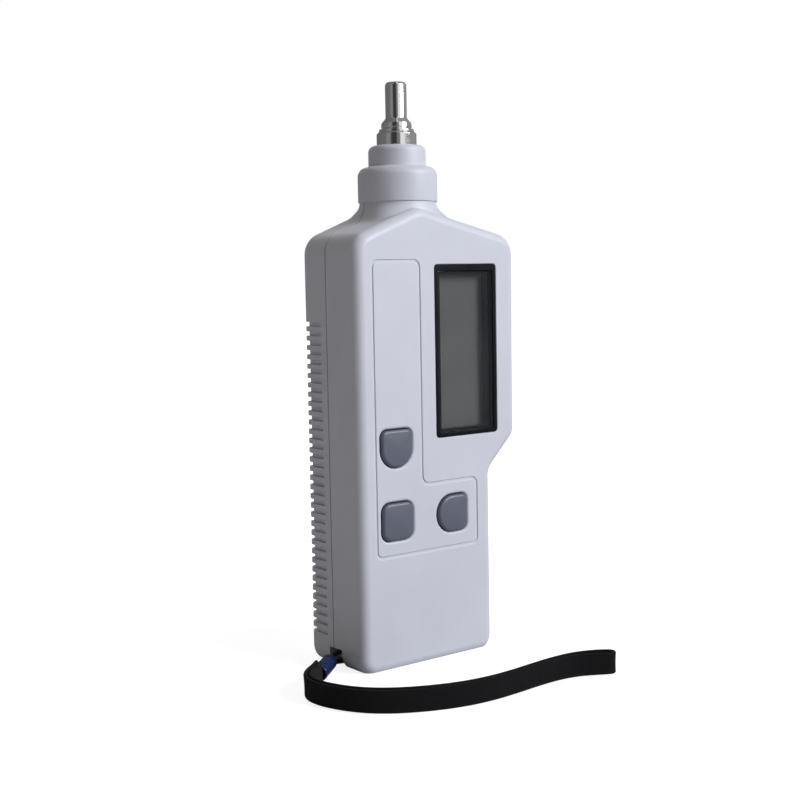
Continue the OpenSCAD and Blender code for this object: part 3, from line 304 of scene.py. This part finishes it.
def fillet(points, radii, steps, closed=True):
    """Polyline whose corners are rounded by arcs of the given radii, in steps."""
    out = []
    n = len(points)
    for i, p in enumerate(points):
        r = radii[i]
        if r == 0 or (not closed and i in (0, n - 1)):
            out.append(Vector(p))
            continue
        corner = Vector(p)
        u = heading_of(p, points[i - 1])
        v = heading_of(p, points[(i + 1) % n])
        half = math.acos(max(-1, min(1, u.dot(v)))) / 2
        centre = corner + (u + v).normalized() * r / math.sin(half)
        start = corner + u * r / math.tan(half) - centre
        end = corner + v * r / math.tan(half) - centre
        a0 = math.atan2(start.y, start.x)
        turn = math.atan2(end.y, end.x) - a0
        turn = (turn + math.pi) % (2 * math.pi) - math.pi
        for k in range(steps + 1):
            a = a0 + turn * k / steps
            out.append(centre + Vector((math.cos(a), math.sin(a))) * r)
    return out


def rectangle(low, high, radii, steps):
    """Anticlockwise rectangle with rounded corners, whose radii start at the low corner."""
    corners = [(low[0], low[1]), (high[0], low[1]), (high[0], high[1]), (low[0], high[1])]
    return fillet(corners, radii, steps)


def inset(outline, d):
    """The anticlockwise outline moved inwards by d."""
    out = []
    n = len(outline)
    for i in range(n):
        before = heading_of(outline[i - 1], outline[i])
        after = heading_of(outline[i], outline[(i + 1) % n])
        n0 = Vector((-before.y, before.x))
        n1 = Vector((-after.y, after.x))
        out.append(outline[i] + (n0 + n1) * d / (1 + n0.dot(n1)))
    return out


def divided(outline, parts):
    """The closed outline with each side cut into as many parts as the function gives for its length."""
    out = []
    for a, b in zip(outline, outline[1:] + outline[:1]):
        count = parts((b - a).length)
        out += [a.lerp(b, k / count) for k in range(count)]
    return out


def smooth_line(points, step):
    """Points of a Catmull-Rom curve through the given points, about step apart."""
    pts = [Vector(p) for p in points]
    ends = [2 * pts[0] - pts[1]] + pts + [2 * pts[-1] - pts[-2]]
    out = []
    for i in range(1, len(ends) - 2):
        p0, p1, p2, p3 = ends[i - 1:i + 3]
        count = max(1, round((p2 - p1).length / step))
        for k in range(count):
            t = k / count
            out.append(0.5 * (2 * p1 + (p2 - p0) * t + (2 * p0 - 5 * p1 + 4 * p2 - p3) * t * t
                              + (3 * p1 - p0 - 3 * p2 + p3) * t ** 3))
    out.append(pts[-1])
    return out


def tangent(path, i):
    """Direction of the path at its point i."""
    return (path[min(i + 1, len(path) - 1)] - path[max(i - 1, 0)]).normalized()


def lengths_along(path):
    """Length of the path up to each of its points."""
    out = [0.0]
    for a, b in zip(path, path[1:]):
        out.append(out[-1] + (b - a).length)
    return out


# Mesh pieces

def finish_piece(name, mesh, material, body=CASE, sharp=SHARP_ANGLE, nodes=(), slot=None):
    """Object from a mesh in metres, smooth apart from edges sharper than the given angle."""
    bm = bmesh.new()
    bm.from_mesh(mesh)
    bmesh.ops.recalc_face_normals(bm, faces=bm.faces)
    for face in bm.faces:
        face.smooth = True
    for edge in bm.edges:
        if len(edge.link_faces) == 2 and edge.calc_face_angle() > math.radians(sharp):
            edge.smooth = False
    bm.to_mesh(mesh)
    bm.free()
    mesh.materials.append(material)
    obj = bpy.data.objects.new(name, mesh)
    SCENE.collection.objects.link(obj)
    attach(obj, body)
    if nodes:
        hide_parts(*nodes)
    return obj


def add_piece(name, verts, faces, material, **kw):
    """Piece from vertices in millimetres."""
    mesh = bpy.data.meshes.new(name)
    mesh.from_pydata([Vector(v) * MM for v in verts], [], faces)
    mesh.validate()
    return finish_piece(name, mesh, material, **kw)


def ring_faces(count, rings, start=0, closed=False):
    """Quads between rings of count points each, with a face at each end unless the last meets the first."""
    faces = []
    for k in range(rings if closed else rings - 1):
        a, b = start + k * count, start + (k + 1) % rings * count
        for i in range(count):
            j = (i + 1) % count
            faces.append((a + i, a + j, b + j, b + i))
    if not closed:
        last = start + (rings - 1) * count
        faces += [tuple(range(start, start + count)), tuple(range(last, last + count))]
    return faces


def skin(name, rings, material, closed=False, **kw):
    """Piece through rings of equal count."""
    verts = [p for ring in rings for p in ring]
    return add_piece(name, verts, ring_faces(len(rings[0]), len(rings), closed=closed), material, **kw)


def full_turn(sides):
    """Angles of that many even steps round a full turn."""
    return [2 * math.pi * i / sides for i in range(sides)]


def lathe(name, profile, material, sides, centre=(AXIS_X, 0), **kw):
    """Turned piece from a profile of (radius, height), about a vertical axis."""
    x, y = centre
    rings = [[(x + r * math.cos(a), y + r * math.sin(a), z) for a in full_turn(sides)] for r, z in profile]
    return skin(name, rings, material, **kw)


def tube(name, path, radius, sides, material, **kw):
    """Round tube along a path that starts level."""
    rings = []
    side = None
    for i, p in enumerate(path):
        t = tangent(path, i)
        side = t.cross(Vector((0, 0, 1))) if side is None else side - t * side.dot(t)
        side.normalize()
        up = side.cross(t)
        rings.append([p + radius * (math.cos(a) * side + math.sin(a) * up) for a in full_turn(sides)])
    return skin(name, rings, material, **kw)


def refined(node, material, width, segments, special=(), **kw):
    """A cleaned copy of a CAD node's mesh with its sharp edges rounded, which stands for the node.

    Each special rounding has a function that chooses edges by their middle, its width and segments,
    and whether it may run into its neighbours. The first one that chooses an edge has it."""
    bm = bmesh.new()
    bm.from_mesh(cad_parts[node].data)
    bmesh.ops.remove_doubles(bm, verts=bm.verts, dist=MERGE * MM)
    bmesh.ops.dissolve_limit(bm, angle_limit=math.radians(FLAT_ANGLE), verts=bm.verts, edges=bm.edges,
                             delimit=set())

    def is_sharp(e):
        return len(e.link_faces) == 2 and e.calc_face_angle() > math.radians(ROUNDED_ANGLE)

    roundings = [*special, (lambda c: True, width, segments, False)]
    turn = bm.edges.layers.int.new("turn")
    for e in bm.edges:
        if is_sharp(e):
            middle = (e.verts[0].co + e.verts[1].co) / (2 * MM)
            e[turn] = next(i for i, (chosen, *_) in enumerate(roundings, 1) if chosen(middle))
    for i, (_, offset, steps, free) in enumerate(roundings, 1):
        edges = [e for e in bm.edges if e[turn] == i and is_sharp(e)]
        if edges and offset > 0:
            bmesh.ops.bevel(bm, geom=edges, offset=offset * MM, offset_type="OFFSET", segments=steps,
                            profile=0.5, affect="EDGES", clamp_overlap=not free)
    mesh = bpy.data.meshes.new(node)
    bm.to_mesh(mesh)
    bm.free()
    obj = finish_piece(node + "_skin", mesh, material, sharp=ROUNDED_ANGLE, nodes=[node], **kw)
    obj.modifiers.new("normals", "WEIGHTED_NORMAL").keep_sharp = True


# Materials

class Nodes:
    """Small builder for the node tree of a material, which it makes by name, or of a world."""

    SOCKETS = {"colour": "Base Color", "metallic": "Metallic", "rough": "Roughness", "alpha": "Alpha",
               "normal": "Normal", "coat": "Coat Weight", "sheen": "Sheen Weight",
               "sheen_rough": "Sheen Roughness", "specular": "Specular IOR Level"}
    NOISE_LOW, NOISE_HIGH = 0.3, 0.7

    def __init__(self, owner):
        self.owner = bpy.data.materials.new(owner) if isinstance(owner, str) else owner
        self.owner.use_nodes = True
        self.tree = self.owner.node_tree
        self.shader = self.tree.nodes.get("Principled BSDF")
        self.place = self.add("ShaderNodeTexCoord").outputs

    def add(self, kind, inputs=None, **settings):
        """New node with its settings, and with a value or a link for each named or numbered input."""
        node = self.tree.nodes.new(kind)
        for key, value in settings.items():
            setattr(node, key, value)
        for key, value in (inputs or {}).items():
            self.put(node.inputs[key], value)
        return node

    def put(self, socket, value):
        if hasattr(value, "is_output"):
            self.tree.links.new(value, socket)
        else:
            socket.default_value = value

    def set(self, **values):
        for key, value in values.items():
            self.put(self.shader.inputs[self.SOCKETS[key]], value)

    def split(self, vector):
        return self.add("ShaderNodeSeparateXYZ", {"Vector": vector}).outputs

    def noise(self, scale, detail=3.0, rough=0.5, vector=None):
        inputs = {"Scale": scale, "Detail": detail, "Roughness": rough,
                  "Vector": vector or self.place["Object"]}
        return self.add("ShaderNodeTexNoise", inputs).outputs["Fac"]

    def bands(self, direction, scale, distortion, detail):
        """Soft bands over the millimetres of the piece's own UV."""
        inputs = {"Scale": scale, "Distortion": distortion, "Detail": detail, "Vector": self.place["UV"]}
        return self.add("ShaderNodeTexWave", inputs, wave_type="BANDS",
                        bands_direction=direction).outputs["Fac"]

    def remap(self, value, from_low, from_high, low, high):
        """value mapped from one range to another, and held at its ends."""
        inputs = {"Value": value, "From Min": from_low, "From Max": from_high, "To Min": low,
                  "To Max": high}
        return self.add("ShaderNodeMapRange", inputs).outputs["Result"]

    def ramp(self, noise, low, high):
        """A noise's middle range mapped to low..high."""
        return self.remap(noise, self.NOISE_LOW, self.NOISE_HIGH, low, high)

    def math(self, operation, a, b):
        return self.add("ShaderNodeMath", {0: a, 1: b}, operation=operation).outputs["Value"]

    def blend(self, value, a, b):
        """Colour between a and b."""
        node = self.add("ShaderNodeMix", {"Factor": value}, data_type="RGBA")
        for socket, colour in zip([s for s in node.inputs if s.type == "RGBA"], (a, b)):
            socket.default_value = (*colour, 1)
        return next(s for s in node.outputs if s.type == "RGBA")

    def bump(self, height, strength, distance, normal=None):
        inputs = {"Strength": strength, "Distance": distance, "Height": height}
        if normal:
            inputs["Normal"] = normal
        return self.add("ShaderNodeBump", inputs).outputs["Normal"]


def moulded_material(name, light, dark, rough, grain, grain_depth, coat, specular):
    """Moulded plastic with a spark-eroded grain, soft flow marks and slight handling sheen."""
    n = Nodes(name)
    cloud = n.ramp(n.noise(scale=55, detail=2), 0, 1)
    worn = n.ramp(n.noise(scale=240, detail=4), rough - 0.05, rough + 0.06)
    fine = n.bump(n.noise(grain, detail=2, rough=0.6), strength=0.35, distance=grain_depth)
    flow = n.bump(n.noise(scale=38, detail=1), strength=0.12, distance=0.0004, normal=fine)
    n.set(colour=n.blend(cloud, dark, light), rough=worn, normal=flow, specular=specular, coat=coat)
    return n.owner


def metal_material(name, colour, rough, turned):
    """Bright metal, with fine rings where it was turned on a lathe."""
    n = Nodes(name)
    dull = tuple(c * 0.93 for c in colour)
    if turned:
        height = n.split(n.place["Object"])["Z"]
        stretched = n.add("ShaderNodeCombineXYZ", {"Z": height}).outputs["Vector"]
        rings = n.noise(scale=9000, detail=2, rough=0.7, vector=stretched)
        relief = n.bump(rings, strength=0.10, distance=0.00001)
    else:
        relief = n.bump(n.noise(scale=1600), strength=0.15, distance=0.00003)
    n.set(metallic=1.0, colour=n.blend(n.noise(scale=180), dull, colour), normal=relief,
          rough=n.ramp(n.noise(scale=420, detail=4), rough * 0.8, rough * 1.35))
    return n.owner


def board_material():
    """Green solder mask with a faint pattern of tracks below it."""
    n = Nodes("circuit_board")
    cells = n.add("ShaderNodeTexVoronoi", {"Scale": 260.0, "Vector": n.place["Object"]},
                  feature="DISTANCE_TO_EDGE")
    tracks = n.math("GREATER_THAN", cells.outputs["Distance"], 0.12)
    n.set(colour=n.blend(tracks, (0.018, 0.13, 0.05), (0.010, 0.075, 0.03)), rough=0.3,
          normal=n.bump(tracks, strength=0.3, distance=0.00003))
    return n.owner


def battery_material():
    """Plain printed sleeve of a block battery: dark, with one pale copper band at the top."""
    n = Nodes("battery_sleeve")
    band = n.math("GREATER_THAN", n.split(n.place["Object"])["Z"], 0.044)
    n.set(colour=n.blend(band, (0.014, 0.014, 0.018), (0.42, 0.24, 0.10)), metallic=0.3,
          rough=n.ramp(n.noise(scale=300), 0.24, 0.36),
          normal=n.bump(n.noise(scale=500, detail=2), strength=0.1, distance=0.00004))
    return n.owner


def display_material():
    """Reflective liquid crystal display with nothing shown: grey, with a faint rub of the rear film."""
    n = Nodes("liquid_crystal")
    rub = n.ramp(n.noise(scale=70, detail=2), 0, 1)
    n.set(colour=n.blend(rub, (0.122, 0.119, 0.113), (0.138, 0.135, 0.128)), specular=0.2,
          rough=n.ramp(n.noise(scale=900), 0.42, 0.52),
          normal=n.bump(n.noise(scale=4200, detail=2, rough=0.7), strength=0.18, distance=0.00002))
    return n.owner


def window_material():
    """Clear window: thin, almost unseen apart from its gloss."""
    n = Nodes("clear_window")
    n.set(colour=(0.10, 0.11, 0.12, 1), rough=n.ramp(n.noise(scale=500), 0.03, 0.07), alpha=0.12,
          specular=0.5)
    return n.owner


def webbing_material():
    """Black nylon webbing: ribs across the band, crossed by the warp, with a fuzz of fibre ends."""
    n = Nodes("nylon_webbing")
    ribs = n.bands("Y", scale=2.6, distortion=0.5, detail=1.0)
    warp = n.bands("X", scale=3.4, distortion=0.4, detail=1.0)
    weave = n.math("MULTIPLY", ribs, warp)
    fuzz = n.noise(scale=5200, rough=0.7)
    woven = n.bump(weave, strength=0.8, distance=0.00022)
    n.set(colour=n.blend(weave, (0.0035, 0.0035, 0.0042), (0.011, 0.011, 0.0125)),
          rough=n.ramp(fuzz, 0.72, 0.9), sheen=0.05, sheen_rough=0.4, specular=0.15,
          normal=n.bump(fuzz, strength=0.4, distance=0.00006, normal=woven))
    return n.owner


def cord_material():
    """Black braided cord."""
    n = Nodes("braided_cord")
    braid = n.bands("DIAGONAL", scale=2.2, distortion=0.3, detail=2.0)
    n.set(colour=n.blend(braid, (0.004, 0.004, 0.005), (0.014, 0.014, 0.016)),
          rough=n.ramp(n.noise(scale=3200), 0.62, 0.8), sheen=0.15,
          normal=n.bump(braid, strength=0.7, distance=0.00015))
    return n.owner


def add_materials():
    m = {key: moulded_material(*recipe) for key, recipe in MOULDED.items()}
    m.update({key: metal_material(*recipe) for key, recipe in METALS.items()})
    m.update(board=board_material(), battery=battery_material(), display=display_material(),
             window=window_material(), strap=webbing_material(), cord=cord_material())
    return m


# Cords

def band_uv(obj, across, along):
    """Gives each corner the millimetres round the section and along the band as its UV."""
    layer = obj.data.uv_layers.new(name="band")
    for loop in obj.data.loops:
        layer.data[loop.index].uv = (across[loop.vertex_index], along[loop.vertex_index])


def repeated(values, count):
    """Each value count times in a row."""
    return [value for value in values for _ in range(count)]


def add_lanyard_cord(m):
    upper = [(x, y, CORD_Z + s) for (x, y), s in zip(CORD_ROUTE, CORD_SPREAD)]
    lower = [(x, y, CORD_Z - s) for (x, y), s in zip(CORD_ROUTE, CORD_SPREAD)]
    turn = [(PIN_AT[0] + PIN_TURN_R * math.cos(math.radians(a)), PIN_AT[1],
             CORD_Z + PIN_TURN_R * math.sin(math.radians(a))) for a in PIN_TURN_ANGLES]
    path = smooth_line(upper[::-1] + turn + lower, CORD_STEP)
    cord = tube("lanyard_cord", path, CORD_R, CORD_SIDES, m["cord"], nodes=["strap_cord"], slot="strap")
    girth = [CORD_R * a for a in full_turn(CORD_SIDES)]
    band_uv(cord, girth * len(path), repeated(lengths_along(path), CORD_SIDES))
    return cord, path


def add_sleeve(m):
    """Tube on the cord, with a soft pinch at two places of its length."""
    start = Vector((*CORD_ROUTE[SLEEVE_FROM], CORD_Z))
    end = Vector((*CORD_ROUTE[-1], CORD_Z))
    length = (end - start).length
    corners = rectangle((SLEEVE_BORE_R, 0), (SLEEVE_R, length), SLEEVE_CORNERS,
                        SLEEVE_CORNER_STEPS)
    profile = []
    for r, z in divided(corners, lambda side: max(1, int(side / SLEEVE_STEP))):
        if r > SLEEVE_R - SLEEVE_PINCH:
            r -= SLEEVE_PINCH * sum(math.exp(-((z - share * length) / SLEEVE_PINCH_L) ** 2)
                                    for share in SLEEVE_PINCH_SHARES)
        profile.append((r, z))
    sleeve = lathe("lanyard_sleeve", profile, m["sleeve"], SLEEVE_SIDES, centre=(0, 0), closed=True,
                   nodes=["strap_sleeve"], slot="sleeve")
    turn = (end - start).to_track_quat("Z", "Y").to_matrix().to_4x4()
    sleeve.data.transform(Matrix.Translation(start * MM) @ turn)
    return sleeve


def strap_side(sign):
    """Middle line of one half of the loop, beside the strap's route."""
    pts = [Vector(p) for p in STRAP_ROUTE]
    out = []
    for i, (p, share) in enumerate(zip(pts, STRAP_PART_SHARES)):
        t = tangent(pts, i)
        out.append(p + sign * (share * STRAP_T + STRAP_T / 2) * Vector((-t.y, t.x)))
    return out


def add_webbing(m):
    """Folded band, which lifts, leans and cups a little along its length."""
    last = Vector(STRAP_ROUTE[-1])
    end = last + heading_of(STRAP_ROUTE[-2], last) * STRAP_T * (STRAP_END_SHARE + 0.5)
    path = smooth_line(strap_side(1) + [end] + strap_side(-1)[::-1], STRAP_STEP)
    edges = rectangle((-STRAP_T / 2, 0), (STRAP_T / 2, STRAP_W), [STRAP_EDGE_R] * 4, STRAP_EDGE_STEPS)
    section = divided(edges, lambda side: STRAP_ROWS if side > STRAP_W / 2 else 1)
    along = lengths_along(path)
    rings = []
    for i, (p, run) in enumerate(zip(path, along)):
        t = tangent(path, i)
        side = Vector((t.y, -t.x))
        lift = STRAP_LIFT * (1 + math.sin(run / STRAP_LIFT_L))
        lean = STRAP_LEAN * math.sin(run / STRAP_LEAN_L + STRAP_LEAN_START)
        ring = []
        for a in section:
            mid = a.y - STRAP_W / 2
            cup = STRAP_CUP * (1 - (2 * mid / STRAP_W) ** 2)
            q = p + side * (a.x + cup + lean * mid)
            ring.append((q.x, q.y, a.y + lift))
        rings.append(ring)
    webbing = skin("wrist_webbing", rings, m["strap"], sharp=STRAP_SHARP_ANGLE, nodes=["wrist_strap"],
                   slot="strap")
    band_uv(webbing, lengths_along(section) * len(path), repeated(along, len(section)))
    return webbing


def add_stitches(m):
    """Box of stitches that holds the two ends of the webbing together behind the sleeve."""
    route = smooth_line(STRAP_ROUTE, STITCH_ROUTE_STEP)
    verts, faces = [], []

    def thread(a, b):
        faces.extend(ring_faces(STITCH_SIDES, len(STITCH_TAPER), start=len(verts)))
        d = (b - a).normalized()
        side = d.cross(Vector(STITCH_ASIDE)).normalized()
        up = side.cross(d)
        for share, r in STITCH_TAPER:
            verts.extend(a.lerp(b, share) + STITCH_R * r * (math.cos(c) * side + math.sin(c) * up)
                         for c in full_turn(STITCH_SIDES))

    def on_band(i, sign, z):
        t = tangent(route, i)
        return Vector((*(route[i] + sign * STITCH_OUT * Vector((-t.y, t.x))), z))

    for sign in (1, -1):
        for row in range(STITCH_ROWS):
            z = STITCH_MARGIN + row * (STRAP_W - 2 * STITCH_MARGIN) / (STITCH_ROWS - 1) + STITCH_LIFT
            for i in STITCH_PLACES:
                thread(on_band(i, sign, z), on_band(i + STITCH_SPAN, sign, z))
    return add_piece("webbing_stitches", verts, faces, m["thread"], slot="strap")


def add_cords(m):
    cord, path = add_lanyard_cord(m)
    sleeve = add_sleeve(m)
    webbing = add_webbing(m)
    stitches = add_stitches(m)


# Case

def at_front(c):
    return abs(c.y - FRONT_Y) < NEAR


def at_key_opening(c):
    reach = math.hypot(KEY_W, KEY_H) / 2 + KEY_FLANGE
    return at_front(c) and any(math.hypot(c.x - x, c.z - z) < reach for (x, z), _ in KEYS.values())


def at_display_opening(c):
    x0, z0, x1, z1 = WINDOW
    return (at_front(c) and x0 - WINDOW_REACH < c.x < x1 + WINDOW_REACH
            and z0 - WINDOW_REACH < c.z < z1 + WINDOW_REACH)


def at_panel_groove(c):
    return (FRONT_Y - NEAR < c.y < FRONT_Y + GROOVE_DEPTH + NEAR and abs(c.x) < GROOVE_REACH_X
            and c.z > GROOVE_LOW_Z)


def at_groove_floor(c):
    return at_panel_groove(c) and not at_front(c)


def at_ribs(c):
    return (c.y > BACK_Y - RIB_RUN - RIB_REACH and RIB_LOW_Z < c.z < RIB_HIGH_Z
            and (c.x < RIB_LEFT_X or c.x > RIB_RIGHT_X))


def at_base(c):
    return c.z < NEAR


def at_neck(c):
    return c.z > SHOULDER_Z and math.hypot(c.x - AXIS_X, c.y) > NECK_SEAT_R


def at_inner_wall(c):
    return (abs(c.x) < INNER_HALF_W and FRONT_Y + WALL < c.y < BACK_Y - WALL
            and INNER_LOW_Z < c.z < INNER_HIGH_Z)


def add_case(m):
    unrounded = (0, 0, False)
    outer = [(at_base, 0.5, 3, False), (at_neck, 0.6, 4, False)]
    front = [(at_inner_wall, *unrounded), (at_key_opening, 0.9, 6, True),
             (at_display_opening, 0.3, 3, False), (at_groove_floor, *unrounded),
             (at_panel_groove, 0.34, 4, True)]
    rear = [(at_ribs, 0.3, 3, False), (at_inner_wall, *unrounded)]
    refined("front_cover", m["shell"], 0.15, 2, front + outer, slot="shell")
    refined("rear_cover", m["shell"], 0.15, 2, rear + outer, slot="shell")
    refined("battery_door", m["shell"], 0.2, 3, body="door", slot="shell")


# Keys and display

def add_key(name, place, radii, material):
    """Key with a softly crowned top, a rounded rim and a flange behind the case wall."""
    centre = Vector(place)
    half = Vector((KEY_W / 2, KEY_H / 2))
    outline = [p + centre for p in rectangle(-half, half, radii, KEY_STEPS)]
    top_y = FRONT_Y - KEY_RISE - KEY_CROWN * (1 - KEY_CROWN_SHARE)

    def ring(y, d):
        return [(p.x, y, p.y) for p in inset(outline, d)]

    top = []
    for k in range(1, KEY_CROWN_RINGS + 1):
        share = k / KEY_CROWN_RINGS
        within = (centre + (p - centre) * share for p in inset(outline, KEY_RIM))
        top.append([(x, top_y + KEY_CROWN * share ** 2, z) for x, z in within])
    rim = []
    for k in range(1, KEY_RIM_RINGS + 1):
        a = math.radians(90 * k / KEY_RIM_RINGS)
        rim.append(ring(top_y + KEY_CROWN + KEY_RIM_DEPTH * (1 - math.cos(a)), KEY_RIM * (1 - math.sin(a))))
    sides = [[(p.x, y, p.y) for p in outline] for y in (KEY_SIDE_Y, KEY_FLANGE_Y)]
    flange = [ring(y, -KEY_FLANGE) for y in (KEY_FLANGE_Y, KEY_BACK_Y)]
    skin(name + "_cap", top + rim + sides + flange, material, body=name + "_key",
         sharp=KEY_SHARP_ANGLE, nodes=[name + "_button"], slot="keys")


def add_keys(m):
    for name, (place, radii) in KEYS.items():
        add_key(name, place, radii, m["keys"])


def add_window_print(m):
    """Black border printed on the back of the window."""
    low, high = (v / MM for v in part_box("display_window"))
    outer = rectangle((low.x, low.z), (high.x, high.z), [PRINT_OUTER_R] * 4, PRINT_STEPS)
    outer = inset(outer, PRINT_GAP)
    inner = rectangle((low.x + PRINT_SIDE, low.z + PRINT_END), (high.x - PRINT_END, high.z - PRINT_END),
                      [PRINT_INNER_R] * 4, PRINT_STEPS)
    front_y = high.y - PRINT_T
    rings = [[(p.x, y, p.y) for p in outline]
             for outline, y in ((outer, front_y), (inner, front_y), (inner, high.y), (outer, high.y))]
    skin("window_print", rings, m["bezel"], closed=True, slot="bezel")


def add_display(m):
    """Bezel, window and a display of three plates: front film, glass and rear film."""
    refined("display_bezel", m["bezel"], 0.25, 3, slot="bezel")
    refined("display_window", m["window"], 0.12, 2, slot="window")
    add_window_print(m)
    low, high = (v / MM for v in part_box("display_glass"))
    fronts = [low.y + depth for depth, _ in DISPLAY_PLATES]
    verts, faces = [], []
    for y0, y1, (_, margin) in zip(fronts, fronts[1:] + [high.y], DISPLAY_PLATES):
        outline = rectangle((low.x + margin, low.z + margin), (high.x - margin, high.z - margin),
                            [PLATE_R] * 4, PLATE_STEPS)
        faces += ring_faces(len(outline), 4, start=len(verts))
        for y, d in ((y0, PLATE_CHAMFER), (y0 + PLATE_CHAMFER, 0), (y1 - PLATE_CHAMFER, 0),
                     (y1, PLATE_CHAMFER)):
            verts += [(p.x, y, p.y) for p in inset(outline, d)]
    add_piece("liquid_crystal", verts, faces, m["display"], nodes=["display_glass"], slot="display")


# Probe

def rounded_profile(profile, steps, closed):
    """Points of a turned profile whose corners carry their own rounding."""
    return fillet([(r, z) for r, z, _ in profile], [corner for *_, corner in profile], steps, closed)


def add_probe(m):
    lathe("probe_collar_skin", rounded_profile(COLLAR_PROFILE, COLLAR_STEPS, True), m["shell"], PROBE_SIDES,
          closed=True, nodes=["probe_collar"], slot="shell")
    refined("sensor_housing", m["steel"], 0.12, 3, slot="steel")
    lathe("probe_tip_skin", rounded_profile(TIP_PROFILE, TIP_STEPS, False), m["steel"], PROBE_SIDES,
          nodes=["probe_tip"], slot="steel")


# Pieces that keep the shape of their solids

def add_rest(m):
    for finish, names in FINISHES.items():
        for name in names:
            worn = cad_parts[name].data.materials
            worn.clear()
            worn.append(m[finish])


# Light and surroundings

def add_lamp(name, at, side, watts, colour, mirrored):
    """Square lamp turned to the case, unseen by the camera."""
    light = bpy.data.lights.new(name, "AREA")
    light.shape = "RECTANGLE"
    light.size = light.size_y = side
    light.energy = watts
    light.color = colour
    obj = bpy.data.objects.new(name, light)
    direction = Vector(LIT_POINT) - Vector(at)
    turn = direction.to_track_quat("-Z", "Y").to_matrix().to_4x4()
    obj.matrix_world = Matrix.Translation(at) @ turn
    SCENE.collection.objects.link(obj)
    obj.visible_camera = False
    obj.visible_glossy = mirrored


def add_lamps():
    for name, settings in LAMPS.items():
        add_lamp(name, *settings)


def seen_directly(n):
    """1 for what the camera sees, also through the window, and 0 for what only lights the object."""
    path = n.add("ShaderNodeLightPath").outputs
    return n.math("MAXIMUM", path["Is Camera Ray"], path["Is Transmission Ray"])


def add_floor():
    """White floor that fades into the background and keeps only a faint shadow near the case."""
    n = Nodes("floor_white")
    n.tree.nodes.remove(n.shader)
    paper = n.add("ShaderNodeBsdfDiffuse", {"Roughness": 0.5, "Color": FLOOR_COLOUR})
    distance = n.add("ShaderNodeVectorMath", {0: n.place["Object"]}, operation="LENGTH")
    level = n.remap(distance.outputs["Value"], SHADE_FROM, SHADE_TO, SHADE_LEVEL, 1.0)
    glow = n.add("ShaderNodeEmission", {"Strength": n.math("MULTIPLY", seen_directly(n), level)})
    both = n.add("ShaderNodeAddShader", {0: paper.outputs["BSDF"], 1: glow.outputs["Emission"]})
    n.put(n.tree.nodes["Material Output"].inputs["Surface"], both.outputs["Shader"])
    mesh = bpy.data.meshes.new("floor")
    half = FLOOR_HALF_W
    corners = [(-half, -half, 0), (half, -half, 0), (half, half, 0), (-half, half, 0)]
    mesh.from_pydata(corners, [], [(0, 1, 2, 3)])
    mesh.materials.append(n.owner)
    floor = bpy.data.objects.new("floor", mesh)
    floor.location.z = -FLOOR_DROP
    SCENE.collection.objects.link(floor)


def add_world():
    """White where the camera looks, soft grey for the fill light, and a studio of grey cards for gloss."""
    SCENE.world = bpy.data.worlds.new("studio")
    n = Nodes(SCENE.world)
    towards = n.split(n.place["Generated"])
    azimuth = n.math("ARCTAN2", towards["Y"], towards["X"])
    ramp = n.add("ShaderNodeValToRGB", {"Fac": n.remap(azimuth, -math.pi, math.pi, 0, 1)})
    stops = ramp.color_ramp.elements
    for i, (at, level) in enumerate(STUDIO_LEVELS):
        stop = stops[0] if i == 0 else stops[-1] if i == len(STUDIO_LEVELS) - 1 else stops.new(at)
        stop.position = at
        stop.color = (level, level, level, 1)

    def light(colour, strength):
        return n.add("ShaderNodeBackground", {"Color": colour, "Strength": strength}).outputs["Background"]

    cards = light(ramp.outputs["Color"], 1.0)
    white = light((1, 1, 1, 1), 1.0)
    fill = light(FILL_COLOUR, FILL_STRENGTH)
    glossy = n.add("ShaderNodeLightPath").outputs["Is Glossy Ray"]
    lit = n.add("ShaderNodeMixShader", {"Fac": glossy, 1: fill, 2: cards}).outputs["Shader"]
    final = n.add("ShaderNodeMixShader", {"Fac": seen_directly(n), 1: lit, 2: white}).outputs["Shader"]
    n.put(n.tree.nodes["World Output"].inputs["Surface"], final)


add_camera()
materials = add_materials()
add_cords(materials)
add_case(materials)
add_keys(materials)
add_display(materials)
add_probe(materials)
add_rest(materials)
add_floor()
add_world()
add_lamps()
SCENE.view_settings.view_transform = "Standard"
